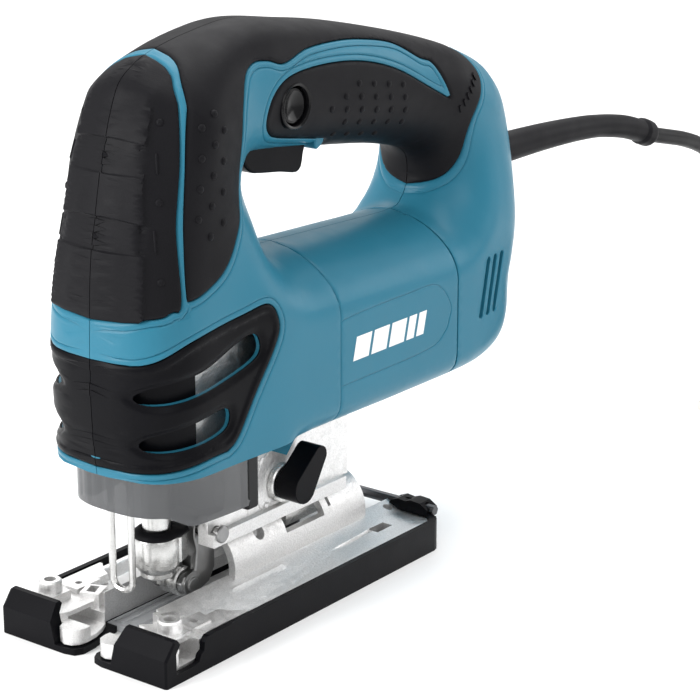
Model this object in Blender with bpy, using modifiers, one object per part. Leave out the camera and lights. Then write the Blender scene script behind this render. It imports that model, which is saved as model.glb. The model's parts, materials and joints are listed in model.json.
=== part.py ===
"""Corded jigsaw: clamshell body, motor, gear train, blade drive and tilting base.

Lengths below are in millimetres and become metres through MM when a mesh is made.
+Z is up, the blade end faces -Y, X = 0 is the plane of symmetry and Z = 0 the sole.
"""
from math import atan2, cos, pi, radians, sin, tau

import bmesh
import bpy
import numpy as np
from mathutils import Matrix, Vector
from mathutils.geometry import delaunay_2d_cdt

MM = 0.001
GAP = 0.3                       # between neighbours that touch

# --- driving dimensions ------------------------------------------------------------
BODY_HALF = 32.0                # half-width of the motor housing
NOSE_HALF = 27.5                # half-width of the nose above the vents
NOSE_FOOT_HALF = 30.5           # half-width of the nose at its lower ring
HANDLE_HALF = 21.0
REAR_HALF = 25.0
REAR_TAPER = 0.14               # share of the width that the rear end loses
WALL = 3.4                      # wall of the clamshell
RING_DEPTHS = (1.5, 3.0, 5.8, 12.0)     # mesh rings of the moulded surface, from its outline in
PAD = 1.5                       # thickness of the soft pads and vent covers
RECESS = 2.1                    # depth of the recess that a pad lies in
RING_Z = 64.0                   # underside of the nose ring
JOINT_FRONT = -16.5             # motor housing joint lines
JOINT_REAR = 55.5
MOTOR_Z = 90.0                  # armature axis
GEAR_Z = 112.5                  # drive gear axis
PINION_TEETH = 9
GEAR_TEETH = 34
STROKE = 26.0
ROD_Y = -79.5                   # blade axis
SADDLE_Z = 15.5                 # tilt axis of the base
SADDLE_R = 15.5
YOKE_Y = -64.8                  # roller yoke pivot
YOKE_Z = 33.0
CORD_D = 7.0
COIL_CENTRE = (60.0, 336.0)
COIL_MEAN_R = 41.0
COIL_HALF = 7.2                 # half the width of the wound ring
COIL_TOP = 28.9

SIDE_OUTLINE = [
    (-107.7, 20), (-107.7, 50), (-107.9, 64), (-109.3, 75), (-110, 92), (-109.4, 106), (-108.3, 127.5),
    (-106.7, 142), (-104.4, 153), (-101.5, 166.5), (-98.4, 177), (-95.3, 186), (-91.5, 193.3),
    (-84.4, 198.2), (-75.6, 201.5), (-57.6, 205), (-36, 207), (-10, 203.6), (18, 199), (60, 189),
    (95, 177.6), (107, 170), (114, 160), (117.6, 146), (118, 128), (116, 104), (111.5, 88), (104.5, 73),
    (95, 63.5), (82, 59), (64, 57.7), (20, 57.7), (-30, 58), (-37, 55), (-38, 40), (-38, 20)]
HOLE_OUTLINE = [
    (-36, 131), (-39.5, 143), (-43.5, 156), (-40.5, 160.3), (-30, 160.3), (-8, 157.6), (16, 154.5),
    (36, 151.5), (52, 148), (61.5, 145), (65.5, 140.5), (65.8, 132), (62.5, 126), (55, 122.8),
    (20, 123.8), (-16.5, 125.2), (-30, 126)]
GRIP_REGION = [
    (-70, 220), (-73, 206), (-75.5, 199), (-80.7, 191.7), (-85.8, 177), (-89.3, 156.6), (-92, 129),
    (-89.9, 124.9), (-75, 130.5), (-65, 141), (-60, 150), (-58, 170), (-56.5, 184), (-53, 192),
    (-47, 195.3), (-39.8, 195), (-31.8, 193), (-17.9, 195.8), (1.4, 195.8), (18, 194), (34.8, 190.4),
    (48, 183.5), (56, 180), (63.5, 167), (55, 170.5), (32.4, 181.5), (11.4, 187.4), (-10.7, 189.4),
    (-29.3, 188.1), (-38.4, 182.8), (-41.5, 175), (-38, 170), (-30, 166.8), (-10, 162.9), (0, 160.5),
    (4.5, 156), (8, 146), (30, 135), (58, 129),
    (67.7, 132.3), (74, 141.6), (76.7, 157), (83, 165.5), (86.5, 173), (82.5, 180.5), (76, 187),
    (71, 220)]
NOSE_REGION = [
    (-130, 119.5), (-103.5, 120.2), (-97.7, 122.2), (-94.2, 124.5), (-92.4, 150), (-85.4, 186),
    (-80.9, 195.5), (-79, 201), (-78, 206), (-77, 220), (-130, 220)]
VENT_REGION = [
    (-130, 104), (-109, 104.4), (-104.7, 105.3), (-91.2, 111.3), (-66.9, 114.8), (-54.7, 115.9),
    (-50.4, 111), (-50.8, 103), (-62.4, 85.7), (-70.1, 73.8), (-75, 70.2), (-81.5, 69.6), (-130, 69.2)]
UPPER_SLOT = [(-104, 91), (-104, 96.8), (-84, 100.5), (-64, 107), (-58.5, 104), (-61, 98), (-80, 93)]
LOWER_SLOT = [(-104, 74.8), (-104, 80), (-90, 83), (-76, 84.5), (-73.5, 80.5), (-77, 76.5), (-90, 74.6)]
CORD_ROUTE = [
    (0, 248.3, 118.8), (0, 262, 115.4), (-0.3, 280, 111), (-1.5, 300, 104), (-4, 322, 92), (-7, 344, 74),
    (-9, 362, 53), (-7, 378, 31), (0, 391, 14), (14, 398, 5.6), (34, 397.5, 4), (52, 394, 3.9),
    (62, 391.6, 3.9)]
TAIL_ROUTE = [
    (106.2, 311, 25), (105.8, 300, 23.6), (103.8, 290, 19.8), (100.2, 280, 15.6), (95.8, 271.2, 13),
    (91.9, 264.4, 12.3)]

BLUE = ("blue_plastic", (0.10, 0.36, 0.47, 1), 0.38, 0.0)
BRONZE = ("bronze", (0.55, 0.38, 0.17, 1), 0.4, 1.0)
BRASS = ("brass", (0.72, 0.56, 0.25, 1), 0.35, 1.0)
CARBON = ("carbon", (0.03, 0.03, 0.03, 1), 0.7, 0.0)
SOFT = ("soft_black", (0.022, 0.022, 0.026, 1), 0.62, 0.0)
BLACK = ("black_plastic", (0.016, 0.016, 0.018, 1), 0.42, 0.0)
CAST = ("cast_aluminium", (0.72, 0.73, 0.74, 1), 0.42, 1.0)
STEEL = ("steel", (0.52, 0.52, 0.53, 1), 0.28, 1.0)
DARK_STEEL = ("dark_steel", (0.10, 0.10, 0.105, 1), 0.35, 1.0)
COPPER = ("copper", (0.62, 0.28, 0.12, 1), 0.35, 1.0)
SMOKED = ("smoked_clear", (0.20, 0.22, 0.25, 0.35), 0.08, 0.0)
PVC = ("cord_sheath", (0.02, 0.02, 0.021, 1), 0.5, 0.0)

# The exact solver leaves pinholes in the moulded surfaces, so their cuts use the other one.
SHELL_NAMES = {"half_shell", "housing_left", "housing_right", "motor_outer", "grip_pad", "nose_pad",
               "vent_cover", "grip_pad_left", "grip_pad_right"}

for old in list(bpy.data.objects):
    bpy.data.objects.remove(old)
PARTS = bpy.data.collections.new("jigsaw")
CUTTERS = bpy.data.collections.new("cutters")
for collection in (PARTS, CUTTERS):
    bpy.context.scene.collection.children.link(collection)


# --- helpers -----------------------------------------------------------------------
def material(spec):
    name, colour, rough, metal = spec
    mat = bpy.data.materials.get(name)
    if mat is None:
        mat = bpy.data.materials.new(name)
        mat.use_nodes = True
        shader = mat.node_tree.nodes["Principled BSDF"]
        shader.inputs["Base Color"].default_value = colour
        shader.inputs["Roughness"].default_value = rough
        shader.inputs["Metallic"].default_value = metal
    return mat


def add(name, bm, spec=None, origin=(0, 0, 0), smooth=True):
    """Turn a millimetre bmesh into an object whose origin lies at origin."""
    bmesh.ops.scale(bm, vec=(MM, MM, MM), verts=bm.verts)
    shift = Vector(origin) * MM
    bmesh.ops.translate(bm, vec=-shift, verts=bm.verts)
    mesh = bpy.data.meshes.new(name)
    bm.to_mesh(mesh)
    bm.free()
    obj = bpy.data.objects.new(name, mesh)
    obj.location = shift
    finish(obj, spec, smooth)
    return obj


def finish(obj, spec, smooth=True):
    """A piece goes into the parts with its material, a cutter into the cutters."""
    if spec is None:
        CUTTERS.objects.link(obj)
        obj.hide_render = True
        obj.display_type = "WIRE"
        return
    PARTS.objects.link(obj)
    obj.data.materials.append(material(spec))
    if smooth:
        obj.data.shade_smooth()
        obj.data.set_sharp_from_angle(angle=radians(35))


def box_bm(lo, hi):
    bm = bmesh.new()
    bmesh.ops.create_cube(bm, size=1)
    lo, hi = Vector(lo), Vector(hi)
    bmesh.ops.scale(bm, vec=hi - lo, verts=bm.verts)
    bmesh.ops.translate(bm, vec=(hi + lo) / 2, verts=bm.verts)
    return bm


def box(name, lo, hi, spec=None, bevel=0.0, origin=(0, 0, 0)):
    obj = add(name, box_bm(lo, hi), spec, origin, smooth=False)
    if bevel:
        rounding = obj.modifiers.new("edges", "BEVEL")
        rounding.width = bevel * MM
        rounding.segments = 2
    return obj


def rod(name, start, end, radius, spec=None, sides=24, end_radius=None, origin=(0, 0, 0)):
    bm = bmesh.new()
    start, end = Vector(start), Vector(end)
    axis = end - start
    bmesh.ops.create_cone(bm, cap_ends=True, segments=sides, radius1=radius,
                          radius2=radius if end_radius is None else end_radius, depth=axis.length)
    turn = axis.to_track_quat("Z", "Y").to_matrix().to_4x4()
    bmesh.ops.transform(bm, matrix=Matrix.Translation((start + end) / 2) @ turn, verts=bm.verts)
    return add(name, bm, spec, origin)


def turned(name, profile, spec, centre=(0, 0, 0), axis="Z", sides=24):
    """Profile of (radius, height) pairs, down the outer side; axis Z, Y or X."""
    bm = bmesh.new()
    verts = [bm.verts.new((r, 0, h)) for r, h in profile]
    closed = profile[0][0] > 0
    for a, b in zip(verts, verts[1:] + verts[:1] if closed else verts[1:]):
        bm.edges.new((a, b))
    obj = add(name, bm, spec, smooth=False)
    screw = obj.modifiers.new("turn", "SCREW")
    screw.steps = sides
    screw.render_steps = sides
    screw.use_merge_vertices = True
    screw.merge_threshold = 0.00001
    screw.use_smooth_shade = False
    tilt = {"Z": (0, 0, 0), "Y": (-pi / 2, 0, 0), "X": (0, pi / 2, 0)}[axis]
    obj.rotation_euler = tilt
    obj.location = Vector(centre) * MM
    return obj


def ring(name, r_in, r_out, lo, hi, spec, centre, axis="Z", sides=24):
    return turned(name, [(r_out, hi), (r_out, lo), (r_in, lo), (r_in, hi)], spec, centre, axis, sides)


def prism(name, outline, axis, lo, hi, spec=None, origin=(0, 0, 0)):
    """Flat outline extruded along axis: X takes (y, z), Y takes (x, z), Z takes (x, y)."""
    curve = bpy.data.curves.new(name, "CURVE")
    curve.dimensions = "2D"
    curve.fill_mode = "BOTH"
    curve.extrude = (hi - lo) / 2
    loops = outline if isinstance(outline[0][0], (tuple, list)) else [outline]
    for loop in loops:
        spline = curve.splines.new("POLY")
        spline.points.add(len(loop) - 1)
        for point, (u, v) in zip(spline.points, loop):
            point.co = (u, v, 0, 1)
        spline.use_cyclic_u = True
    temp = bpy.data.objects.new(name + "_outline", curve)
    bpy.context.scene.collection.objects.link(temp)
    bpy.context.view_layer.update()
    mesh = bpy.data.meshes.new_from_object(temp.evaluated_get(bpy.context.evaluated_depsgraph_get()))
    bpy.data.objects.remove(temp)
    bm = bmesh.new()
    bm.from_mesh(mesh)
    bpy.data.meshes.remove(mesh)
    bmesh.ops.remove_doubles(bm, verts=bm.verts, dist=0.0005)
    mid = (lo + hi) / 2
    turn = {"Z": Matrix.Identity(4),
            "X": Matrix(((0, 0, 1, 0), (1, 0, 0, 0), (0, 1, 0, 0), (0, 0, 0, 1))),
            "Y": Matrix(((1, 0, 0, 0), (0, 0, -1, 0), (0, 1, 0, 0), (0, 0, 0, 1)))}[axis]
    shift = {"X": (mid, 0, 0), "Y": (0, mid, 0), "Z": (0, 0, mid)}[axis]
    bmesh.ops.transform(bm, matrix=Matrix.Translation(shift) @ turn, verts=bm.verts)
    bmesh.ops.recalc_face_normals(bm, faces=bm.faces)
    return add(name, bm, spec, origin, smooth=False)


def boolean(obj, cutter, operation="DIFFERENCE"):
    step = obj.modifiers.new(cutter.name, "BOOLEAN")
    step.operation = operation
    step.object = cutter
    if obj.name in SHELL_NAMES or cutter.name.endswith("_core"):
        step.solver = "MANIFOLD"
    return obj


def cut(obj, *cutters):
    for cutter in cutters:
        boolean(obj, cutter)
    return obj


def join(obj, *additions):
    for addition in additions:
        boolean(obj, addition, "UNION")
    return obj


def baked(obj, name, spec, mirror=False):
    """A plain mesh copy of an object with its modifiers applied, mirrored if asked."""
    bpy.context.view_layer.update()
    mesh = bpy.data.meshes.new_from_object(obj.evaluated_get(bpy.context.evaluated_depsgraph_get()))
    mesh.transform(obj.matrix_world)
    if mirror:
        mesh.transform(Matrix.Scale(-1, 4, (1, 0, 0)))
        mesh.flip_normals()
    mesh.materials.clear()
    bm = bmesh.new()
    bm.from_mesh(mesh)
    for vert in bm.verts:
        if abs(vert.co.x) < 0.000004:
            vert.co.x = 0
    bmesh.ops.remove_doubles(bm, verts=bm.verts, dist=0.000003)
    bmesh.ops.dissolve_limit(bm, angle_limit=radians(1.5), verts=bm.verts, edges=bm.edges)
    bmesh.ops.triangulate(bm, faces=bm.faces)
    bmesh.ops.dissolve_degenerate(bm, edges=bm.edges, dist=0.000003)
    bm.to_mesh(mesh)
    bm.free()
    copy = bpy.data.objects.new(name, mesh)
    finish(copy, spec)
    return copy


def tube(name, points, radius, spec, resolution=3, radii=None):
    curve = bpy.data.curves.new(name, "CURVE")
    curve.dimensions = "3D"
    curve.bevel_depth = radius * MM
    curve.bevel_resolution = resolution
    curve.use_fill_caps = True
    spline = curve.splines.new("POLY")
    spline.points.add(len(points) - 1)
    for i, (point, where) in enumerate(zip(spline.points, points)):
        point.co = (*(Vector(where) * MM), 1)
        if radii:
            point.radius = radii[i] / radius
    obj = bpy.data.objects.new(name, curve)
    PARTS.objects.link(obj)
    curve.materials.append(material(spec))
    return obj


def smooth_path(points, spacing, closed=False):
    """Even points on the Catmull-Rom curve through the given ones."""
    pts = [np.array(p, float) for p in points]
    count = len(pts)
    dense = []
    for i in range(count if closed else count - 1):
        if closed:
            p0, p1, p2, p3 = (pts[(i + k - 1) % count] for k in range(4))
        else:
            p1, p2 = pts[i], pts[i + 1]
            p0 = pts[i - 1] if i else 2 * p1 - p2
            p3 = pts[i + 2] if i + 2 < count else 2 * p2 - p1
        for t in np.linspace(0, 1, 12, endpoint=False):
            dense.append(0.5 * (2 * p1 + (p2 - p0) * t + (2 * p0 - 5 * p1 + 4 * p2 - p3) * t ** 2
                                + (3 * p1 - p0 - 3 * p2 + p3) * t ** 3))
    dense.append(pts[0] if closed else pts[-1])
    dense = np.array(dense)
    run = np.concatenate(([0], np.cumsum(np.linalg.norm(np.diff(dense, axis=0), axis=1))))
    steps = max(2, round(run[-1] / spacing))
    at = np.linspace(0, run[-1], steps + 1)
    even = np.stack([np.interp(at, run, dense[:, k]) for k in range(dense.shape[1])], axis=1)
    return even[:-1] if closed else even


# --- the moulded body surface --------------------------------------------------------
OUTER = smooth_path(SIDE_OUTLINE, 11.0, closed=True)
HOLE = smooth_path(HOLE_OUTLINE, 9.0, closed=True)


def smoothstep(a, b, t):
    s = np.clip((t - a) / (b - a), 0, 1)
    return s * s * (3 - 2 * s)


def edge_distance(p, loops):
    """Distance from points to the nearest segment of the closed loops."""
    best = np.full(len(p), 1e9)
    for loop in loops:
        a = loop
        d = np.roll(loop, -1, axis=0) - a
        rel = p[:, None, :] - a[None]
        t = np.clip((rel * d).sum(2) / (d * d).sum(1), 0, 1)
        best = np.minimum(best, np.linalg.norm(rel - t[..., None] * d, axis=2).min(1))
    return best


def inside(p, loop):
    x, y = p[:, 0][:, None], p[:, 1][:, None]
    a, b = loop, np.roll(loop, -1, axis=0)
    crosses = (a[:, 1] > y) != (b[:, 1] > y)
    at = a[:, 0] + (y - a[:, 1]) * (b[:, 0] - a[:, 0]) / (b[:, 1] - a[:, 1] + 1e-12)
    return (crosses & (x < at)).sum(1) % 2 == 1


def half_width(p, depth):
    """Half-width of the body, moved in by depth, at points (y, z)."""
    y, z = p[:, 0], p[:, 1]
    nose = 1 - smoothstep(-78, -44, y)
    low_nose = NOSE_FOOT_HALF + (NOSE_HALF - NOSE_FOOT_HALF) * smoothstep(95, 155, z)
    upper = HANDLE_HALF + (REAR_HALF - HANDLE_HALF) * smoothstep(50, 92, y)
    body = BODY_HALF + (upper - BODY_HALF) * smoothstep(108, 156, z)
    body = body * (1 - REAR_TAPER * smoothstep(62, 112, y))
    width = body + (low_nose - body) * nose
    rise = smoothstep(66, 95, z)
    power = 2.5 + (1.95 - 2.5) * rise + 0.75 * smoothstep(150, 182, z) * (1 - smoothstep(70, 95, y))
    nose_power = 2.9 + (2.2 - 2.9) * smoothstep(100, 150, z) - 0.35 * smoothstep(165, 192, z)
    power = power + (nose_power - power) * nose
    reach = 14 + (23 - 14) * rise
    reach = reach + (29 + (25 - 29) * smoothstep(95, 128, z) - reach) * nose
    t = np.clip((edge_distance(p, (OUTER, HOLE)) - depth) / reach, 0, 1)
    return (width - depth) * (1 - (1 - t) ** power) ** (1 / power)


def offset_loop(loop, distance, outward):
    """Loop moved along its normals: into the body, whichever side that is."""
    along = np.roll(loop, -1, axis=0) - np.roll(loop, 1, axis=0)
    normal = np.stack([-along[:, 1], along[:, 0]], axis=1)
    normal /= np.linalg.norm(normal, axis=1)[:, None]
    area = (loop[:, 0] * np.roll(loop[:, 1], -1) - np.roll(loop[:, 0], -1) * loop[:, 1]).sum()
    sign = (1 if area > 0 else -1) * (-1 if outward else 1)
    return loop + normal * sign * distance


def field_solid(name, depth, back):
    """Solid between the plane x = back and the body surface moved in by depth."""
    loops = [offset_loop(OUTER, depth, False), offset_loop(HOLE, depth, True)]
    points = [tuple(p) for loop in loops for p in loop]
    edges = []
    start = 0
    for loop in loops:
        edges += [(start + i, start + (i + 1) % len(loop)) for i in range(len(loop))]
        start += len(loop)
    extra = []
    for level in [v for v in RING_DEPTHS if v > depth + 0.5]:
        near = np.concatenate([offset_loop(OUTER, level, False), offset_loop(HOLE, level, True)])
        keep = edge_distance(near, (OUTER, HOLE)) > level * 0.93
        extra += [tuple(p) for p in near[keep]]
    pitch = 13.0
    rows = np.arange(25, 205, pitch * 0.87)
    grid = np.array([(y + (k % 2) * pitch / 2, z) for k, z in enumerate(rows)
                     for y in np.arange(-105, 118, pitch)])
    keep = inside(grid, OUTER) & ~inside(grid, HOLE)
    keep &= edge_distance(grid, (OUTER, HOLE)) > 17
    extra += [tuple(p) for p in grid[keep]]
    verts, _, faces, *_ = delaunay_2d_cdt([Vector(p) for p in points + extra], edges, [], 0, 1e-4)
    flat = np.array([tuple(v) for v in verts])
    centres = np.array([flat[list(f)].mean(0) for f in faces])
    keep = inside(centres, loops[0]) & ~inside(centres, loops[1])
    faces = [f for f, k in zip(faces, keep) if k]
    top_x = np.maximum(half_width(flat, depth), max(back, 0))
    bm = bmesh.new()
    top = [bm.verts.new((x, y, z)) for x, (y, z) in zip(top_x, flat)]
    low = [bm.verts.new((back, y, z)) for y, z in flat]
    sides = {}
    for face in faces:
        bm.faces.new([top[i] for i in face])
        bm.faces.new([low[i] for i in reversed(face)])
        for a, b in zip(face, face[1:] + face[:1]):
            sides[(a, b)] = True
    for a, b in list(sides):
        if (b, a) not in sides:
            bm.faces.new((top[b], top[a], low[a], low[b]))
    bmesh.ops.remove_doubles(bm, verts=bm.verts, dist=0.002)
    bmesh.ops.dissolve_degenerate(bm, edges=bm.edges, dist=0.002)
    loose = [v for v in bm.verts if not v.link_faces]
    bmesh.ops.delete(bm, geom=loose, context="VERTS")
    bmesh.ops.recalc_face_normals(bm, faces=bm.faces)
    return add(name, bm)


def grown(outline, distance, spacing=8.5):
    loop = smooth_path(outline, spacing, closed=True)
    return [tuple(p) for p in offset_loop(loop, distance, True)] if distance else [tuple(p) for p in loop]


def band(name, outline, margin):
    """Prism through the left half under a region of the side, grown by margin."""
    return prism(name, grown(outline, margin), "X", -5, 60)


def surface_x(y, z, depth=0.0):
    return float(half_width(np.array([(y, z)], float), depth)[0])


# --- clamshell, pads and covers ------------------------------------------------------
SCREW_SPOTS = [(-60, 186), (40, 171), (97, 150), (93, 78), (-27, 111)]


def boss_reach(y, z):
    """Length of a screw boss that ends inside the wall, below any pad's recess."""
    rim = [(y + 4.4 * cos(a), z + 4.4 * sin(a)) for a in (tau * k / 8 for k in range(8))]
    return min(surface_x(u, v, RECESS + 0.8) for u, v in rim)


def vent_slots():
    for k in range(3):
        y = 76.5 + 5.4 * k
        slot = [(y, 103), (y + 2.6, 103), (y - 3.6, 82.5), (y - 6.2, 82.5)]
        yield prism(f"rear_slot_{k}", slot, "X", 20, 60)


def make_clamshell():
    outer = field_solid("outer", 0, GAP / 2)
    cavity = field_solid("cavity", WALL, -2)
    under_pad = field_solid("under_pad", PAD, -2)
    recess_core = field_solid("recess_core", RECESS, -2)
    regions = {"grip_pad": GRIP_REGION, "nose_pad": NOSE_REGION, "vent_cover": VENT_REGION}
    slots = [prism("upper_slot", grown(UPPER_SLOT, 0, 5), "X", 2, 60),
             prism("lower_slot", grown(LOWER_SLOT, 0, 5), "X", 2, 60)]
    trigger_slot = box("trigger_slot", (-9.5, -44, 146), (9.5, -6.2, 168.5))
    lock_hole = rod("lock_hole", (4, -27, 177.7), (40, -27, 177.7), 7.0)
    guard_hole = rod("guard_hole", (0, 98, 133), (0, 130, 133), 8.8)
    common = [trigger_slot, guard_hole]
    half = baked(outer, "half_shell", None)
    for name, outline in regions.items():
        recess = band(name + "_recess", outline, GAP)
        cut(half, cut(recess, recess_core))
    cut(half, cavity)
    cut(half, box("nose_foot", (-5, -130, 0), (60, -41.5, RING_Z)),
        box("nose_stub", (-5, -130, 0), (60, -33, 57.6)),
        box("motor_bay", (-5, JOINT_FRONT, 40), (60, JOINT_REAR, 140)),
        box("floor_opening", (-5, -100, 45), (22.8, -35.4, 66)))
    cut(half, *common, *slots, *vent_slots())
    for k, (y, z) in enumerate(SCREW_SPOTS):
        reach = boss_reach(y, z)
        join(half, rod(f"boss_{k}", (GAP / 2, y, z), (reach, y, z), 4.4, sides=10))
        cut(half, rod(f"boss_bore_{k}", (-1, y, z), (9, y, z), 1.9, sides=8))
    left = baked(half, "housing_left", BLUE)
    cut(left, lock_hole)
    right = baked(half, "housing_right", BLUE, mirror=True)
    heads = []
    for k, (y, z) in enumerate(SCREW_SPOTS):
        reach = surface_x(y, z)
        shank = rod(f"through_{k}", (-1, y, z), (-60, y, z), 1.9, sides=8)
        sink = rod(f"sink_{k}", (-reach + 7.3, y, z), (-60, y, z), 3.9, sides=12)
        cut(right, shank, sink)
        heads.append(sink)
        turned(f"housing_screw_{k + 1}", [(0, 8), (1.5, 8), (1.5, 6.9 - reach), (3.5, 6.9 - reach),
                                          (3.5, 4.4 - reach), (0, 4.4 - reach)],
               DARK_STEEL, (0, y, z), "X", 14)
    for name, outline in regions.items():
        pad = baked(outer, name, None)
        boolean(pad, band(name + "_band", outline, 0), "INTERSECT")
        cut(pad, under_pad, *common)
        if name == "vent_cover":
            cut(pad, *slots)
        spec = BLACK if name == "vent_cover" else SOFT
        left_pad = baked(pad, name + "_left", spec)
        right_pad = baked(pad, name + "_right", spec, mirror=True)
        if name == "grip_pad":
            cut(left_pad, lock_hole)
            cut(right_pad, *heads)
    make_motor_housing(cavity)


def make_motor_housing(cavity):
    half = field_solid("motor_outer", 0, 0)
    boolean(half, box("motor_span", (-5, JOINT_FRONT + GAP, 40), (60, JOINT_REAR - GAP, 140)), "INTERSECT")
    cut(half, cavity)
    shell = baked(half, "motor_housing", BLUE)
    bm = bmesh.new()
    bm.from_mesh(shell.data)
    seam = [f for f in bm.faces if all(abs(v.co.x) < 1e-6 for v in f.verts)]
    bmesh.ops.delete(bm, geom=seam, context="FACES")
    bm.to_mesh(shell.data)
    bm.free()
    mirror = shell.modifiers.new("halves", "MIRROR")
    mirror.merge_threshold = 0.00001


# --- gear housing and motor ----------------------------------------------------------
def rounded_front(half, front, rear, radius):
    """Plan outline (x, y) of a block whose two front corners are arcs."""
    arc = [radians(a) for a in range(0, 91, 18)]
    right = [(half - radius + radius * cos(a), front + radius - radius * sin(a)) for a in arc]
    return [(half, rear)] + right + [(-x, y) for x, y in reversed(right)] + [(-half, rear)]


def make_gear_housing():
    casing = prism("gear_housing", rounded_front(21.7, -91, -60, 12), "Z", 62.8, 160, CAST)
    join(casing, box("gear_bay", (-21, -60.5, 60), (21, -36, GEAR_Z)),
         rod("gear_drum", (0, -60.5, GEAR_Z), (0, -44, GEAR_Z), 20.6, sides=36),
         box("lower_block", (-14.5, -47.5, 33), (14.5, 10, 56.2)),
         box("flange", (-17, -69, 28.8), (17, 6, 33.5)),
         box("fork", (-14.2, -69, 30), (14.2, -47, 40)),
         rod("lever_boss", (14, -30, 41.5), (17, -30, 41.5), 6.2),
         box("nose_floor_web", (-14.5, -60.3, 40), (14.5, -40, 66)))
    cut(casing, box("left_shoulder", (17.6, -100, 134), (30, -50, 170)),
        box("right_shoulder", (-30, -100, 134), (-17.6, -50, 170)),
        prism("crank_room", rounded_front(19, -88, -60, 9), "Z", 66, 131.5),
        prism("upper_room", rounded_front(14.8, -87, -60.4, 7), "Z", 130, 157),
        box("yoke_room", (-16, -62, 84), (16, -59, 134)),
        rod("gear_room", (0, -62, GEAR_Z), (0, -47, GEAR_Z), 18.2, sides=36),
        box("pinion_room", (-8, -62, 82), (8, -47, 98)),
        rod("front_bearing_seat", (0, -44.4, MOTOR_Z), (0, -30, MOTOR_Z), 11.3),
        rod("shaft_way", (0, -48, MOTOR_Z), (0, -43, MOTOR_Z), 6.2),
        rod("spindle_seat", (0, -50, GEAR_Z), (0, -40, GEAR_Z), 4.3),
        rod("lower_rod_way", (0, ROD_Y, 50), (0, ROD_Y, 70), 8.3),
        rod("upper_rod_way", (0, ROD_Y, 150), (0, ROD_Y, 165), 8.3),
        box("yoke_slot", (-9.8, -72, 20), (9.8, -56.5, 56)),
        rod("saddle_seat", (0, -75, SADDLE_Z), (0, 20, SADDLE_Z), SADDLE_R + GAP, sides=48),
        rod("bolt_way", (0, -10, 20), (0, -10, 51), 4.4),
        rod("lever_way", (-12, -30, 41.5), (20, -30, 41.5), 3.4),
        rod("yoke_pin_way", (-20, YOKE_Y, YOKE_Z), (20, YOKE_Y, YOKE_Z), 2.3, sides=16))
    for name, lo, hi in (("lower_bush", 62.8, 70.8), ("upper_bush", 157.3, 160)):
        ring(name, 5.3, 8.0, lo, hi, BRONZE, (0, ROD_Y, 0))


def toothed(teeth, tip, root):
    """Gear outline with straight-flanked teeth."""
    outline = []
    for k in range(teeth):
        for at, r in ((-0.30, root), (-0.14, tip), (0.14, tip), (0.30, root)):
            a = tau * (k + at) / teeth
            outline.append((r * cos(a), r * sin(a)))
    return outline


def shifted(outline, dx, dz):
    return [(x + dx, z + dz) for x, z in outline]


def make_motor():
    ring("field_core", 17, 26.5, 0, 44, DARK_STEEL, (0, 0, MOTOR_Z), "Y", 32)
    turned("armature_shaft", [(0, 68), (4, 68), (4, -46.5), (0, -46.5)], STEEL, (0, 0, MOTOR_Z), "Y")
    ring("armature_core", 4.3, 16, 2, 42, COPPER, (0, 0, MOTOR_Z), "Y", 32)
    ring("commutator", 4.3, 10, 46, 58, COPPER, (0, 0, MOTOR_Z), "Y")
    fan = [(10, -7), (24, -9), (24, -12.5), (10, -14), (4.3, -14), (4.3, -4), (8, -4), (8, -7)]
    turned("cooling_fan", fan, BLACK, (0, 0, MOTOR_Z), "Y", 28)
    ring("front_bearing", 4.4, 11, -44, -37, STEEL, (0, 0, MOTOR_Z), "Y")
    ring("rear_bearing", 4.4, 10, 60, 67, STEEL, (0, 0, MOTOR_Z), "Y")
    prism("pinion", shifted(toothed(PINION_TEETH, 5.0, 3.6), 0, MOTOR_Z), "Y", -57, -47, STEEL,
          origin=(0, 0, MOTOR_Z))
    for side, word in ((1, "left"), (-1, "right")):
        lo, hi = sorted((side * 10.6, side * 25))
        holder = box(f"brush_holder_{word}", (lo, 48, 85.5), (hi, 56, 94.5), BRASS)
        cut(holder, box(f"brush_way_{word}", (min(lo, hi) - 1, 49.2, 86.7), (max(lo, hi) + 1, 54.8, 93.3)))
        lo, hi = sorted((side * 10.4, side * 21))
        box(f"carbon_brush_{word}", (lo, 49.6, 87.1), (hi, 54.4, 92.9), CARBON)


def make_gear_train():
    gear = prism("drive_gear", shifted(toothed(GEAR_TEETH, 17.2, 15.4), 0, GEAR_Z), "Y", -57, -49, STEEL,
                 origin=(0, 0, GEAR_Z))
    join(gear, rod("crank_pin", (0, -61.5, GEAR_Z - STROKE / 2), (0, -56, GEAR_Z - STROKE / 2), 3.0))
    cut(gear, rod("gear_bore", (0, -60, GEAR_Z), (0, -40, GEAR_Z), 4.4))
    turned("gear_spindle", [(0, -44.5), (4, -44.5), (4, -57), (0, -57)], STEEL, (0, 0, GEAR_Z), "Y")
    slider = rod("slider", (0, ROD_Y, 26.3), (0, ROD_Y, 150), 5.0, STEEL)
    pin_z = GEAR_Z - STROKE / 2
    join(slider, box("yoke_arm", (-4.5, ROD_Y + 1, pin_z - 5), (4.5, -64, pin_z + 5)),
         box("yoke_plate", (-18, -66, pin_z - 5.8), (18, -62, pin_z + 5.8)))
    cut(slider, box("yoke_way", (-16, -68, pin_z - 3.4), (16, -65.2, pin_z + 3.4)),
        box("yoke_way_rear", (-16, -65.5, pin_z - 3.4), (16, -60, pin_z + 3.4)))
    weight = box("counterweight", (-14, -73, 100), (14, -67.5, 154), DARK_STEEL)
    cut(weight, box("weight_gap", (-8.5, -76, 90), (8.5, -60, 148)))


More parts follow.
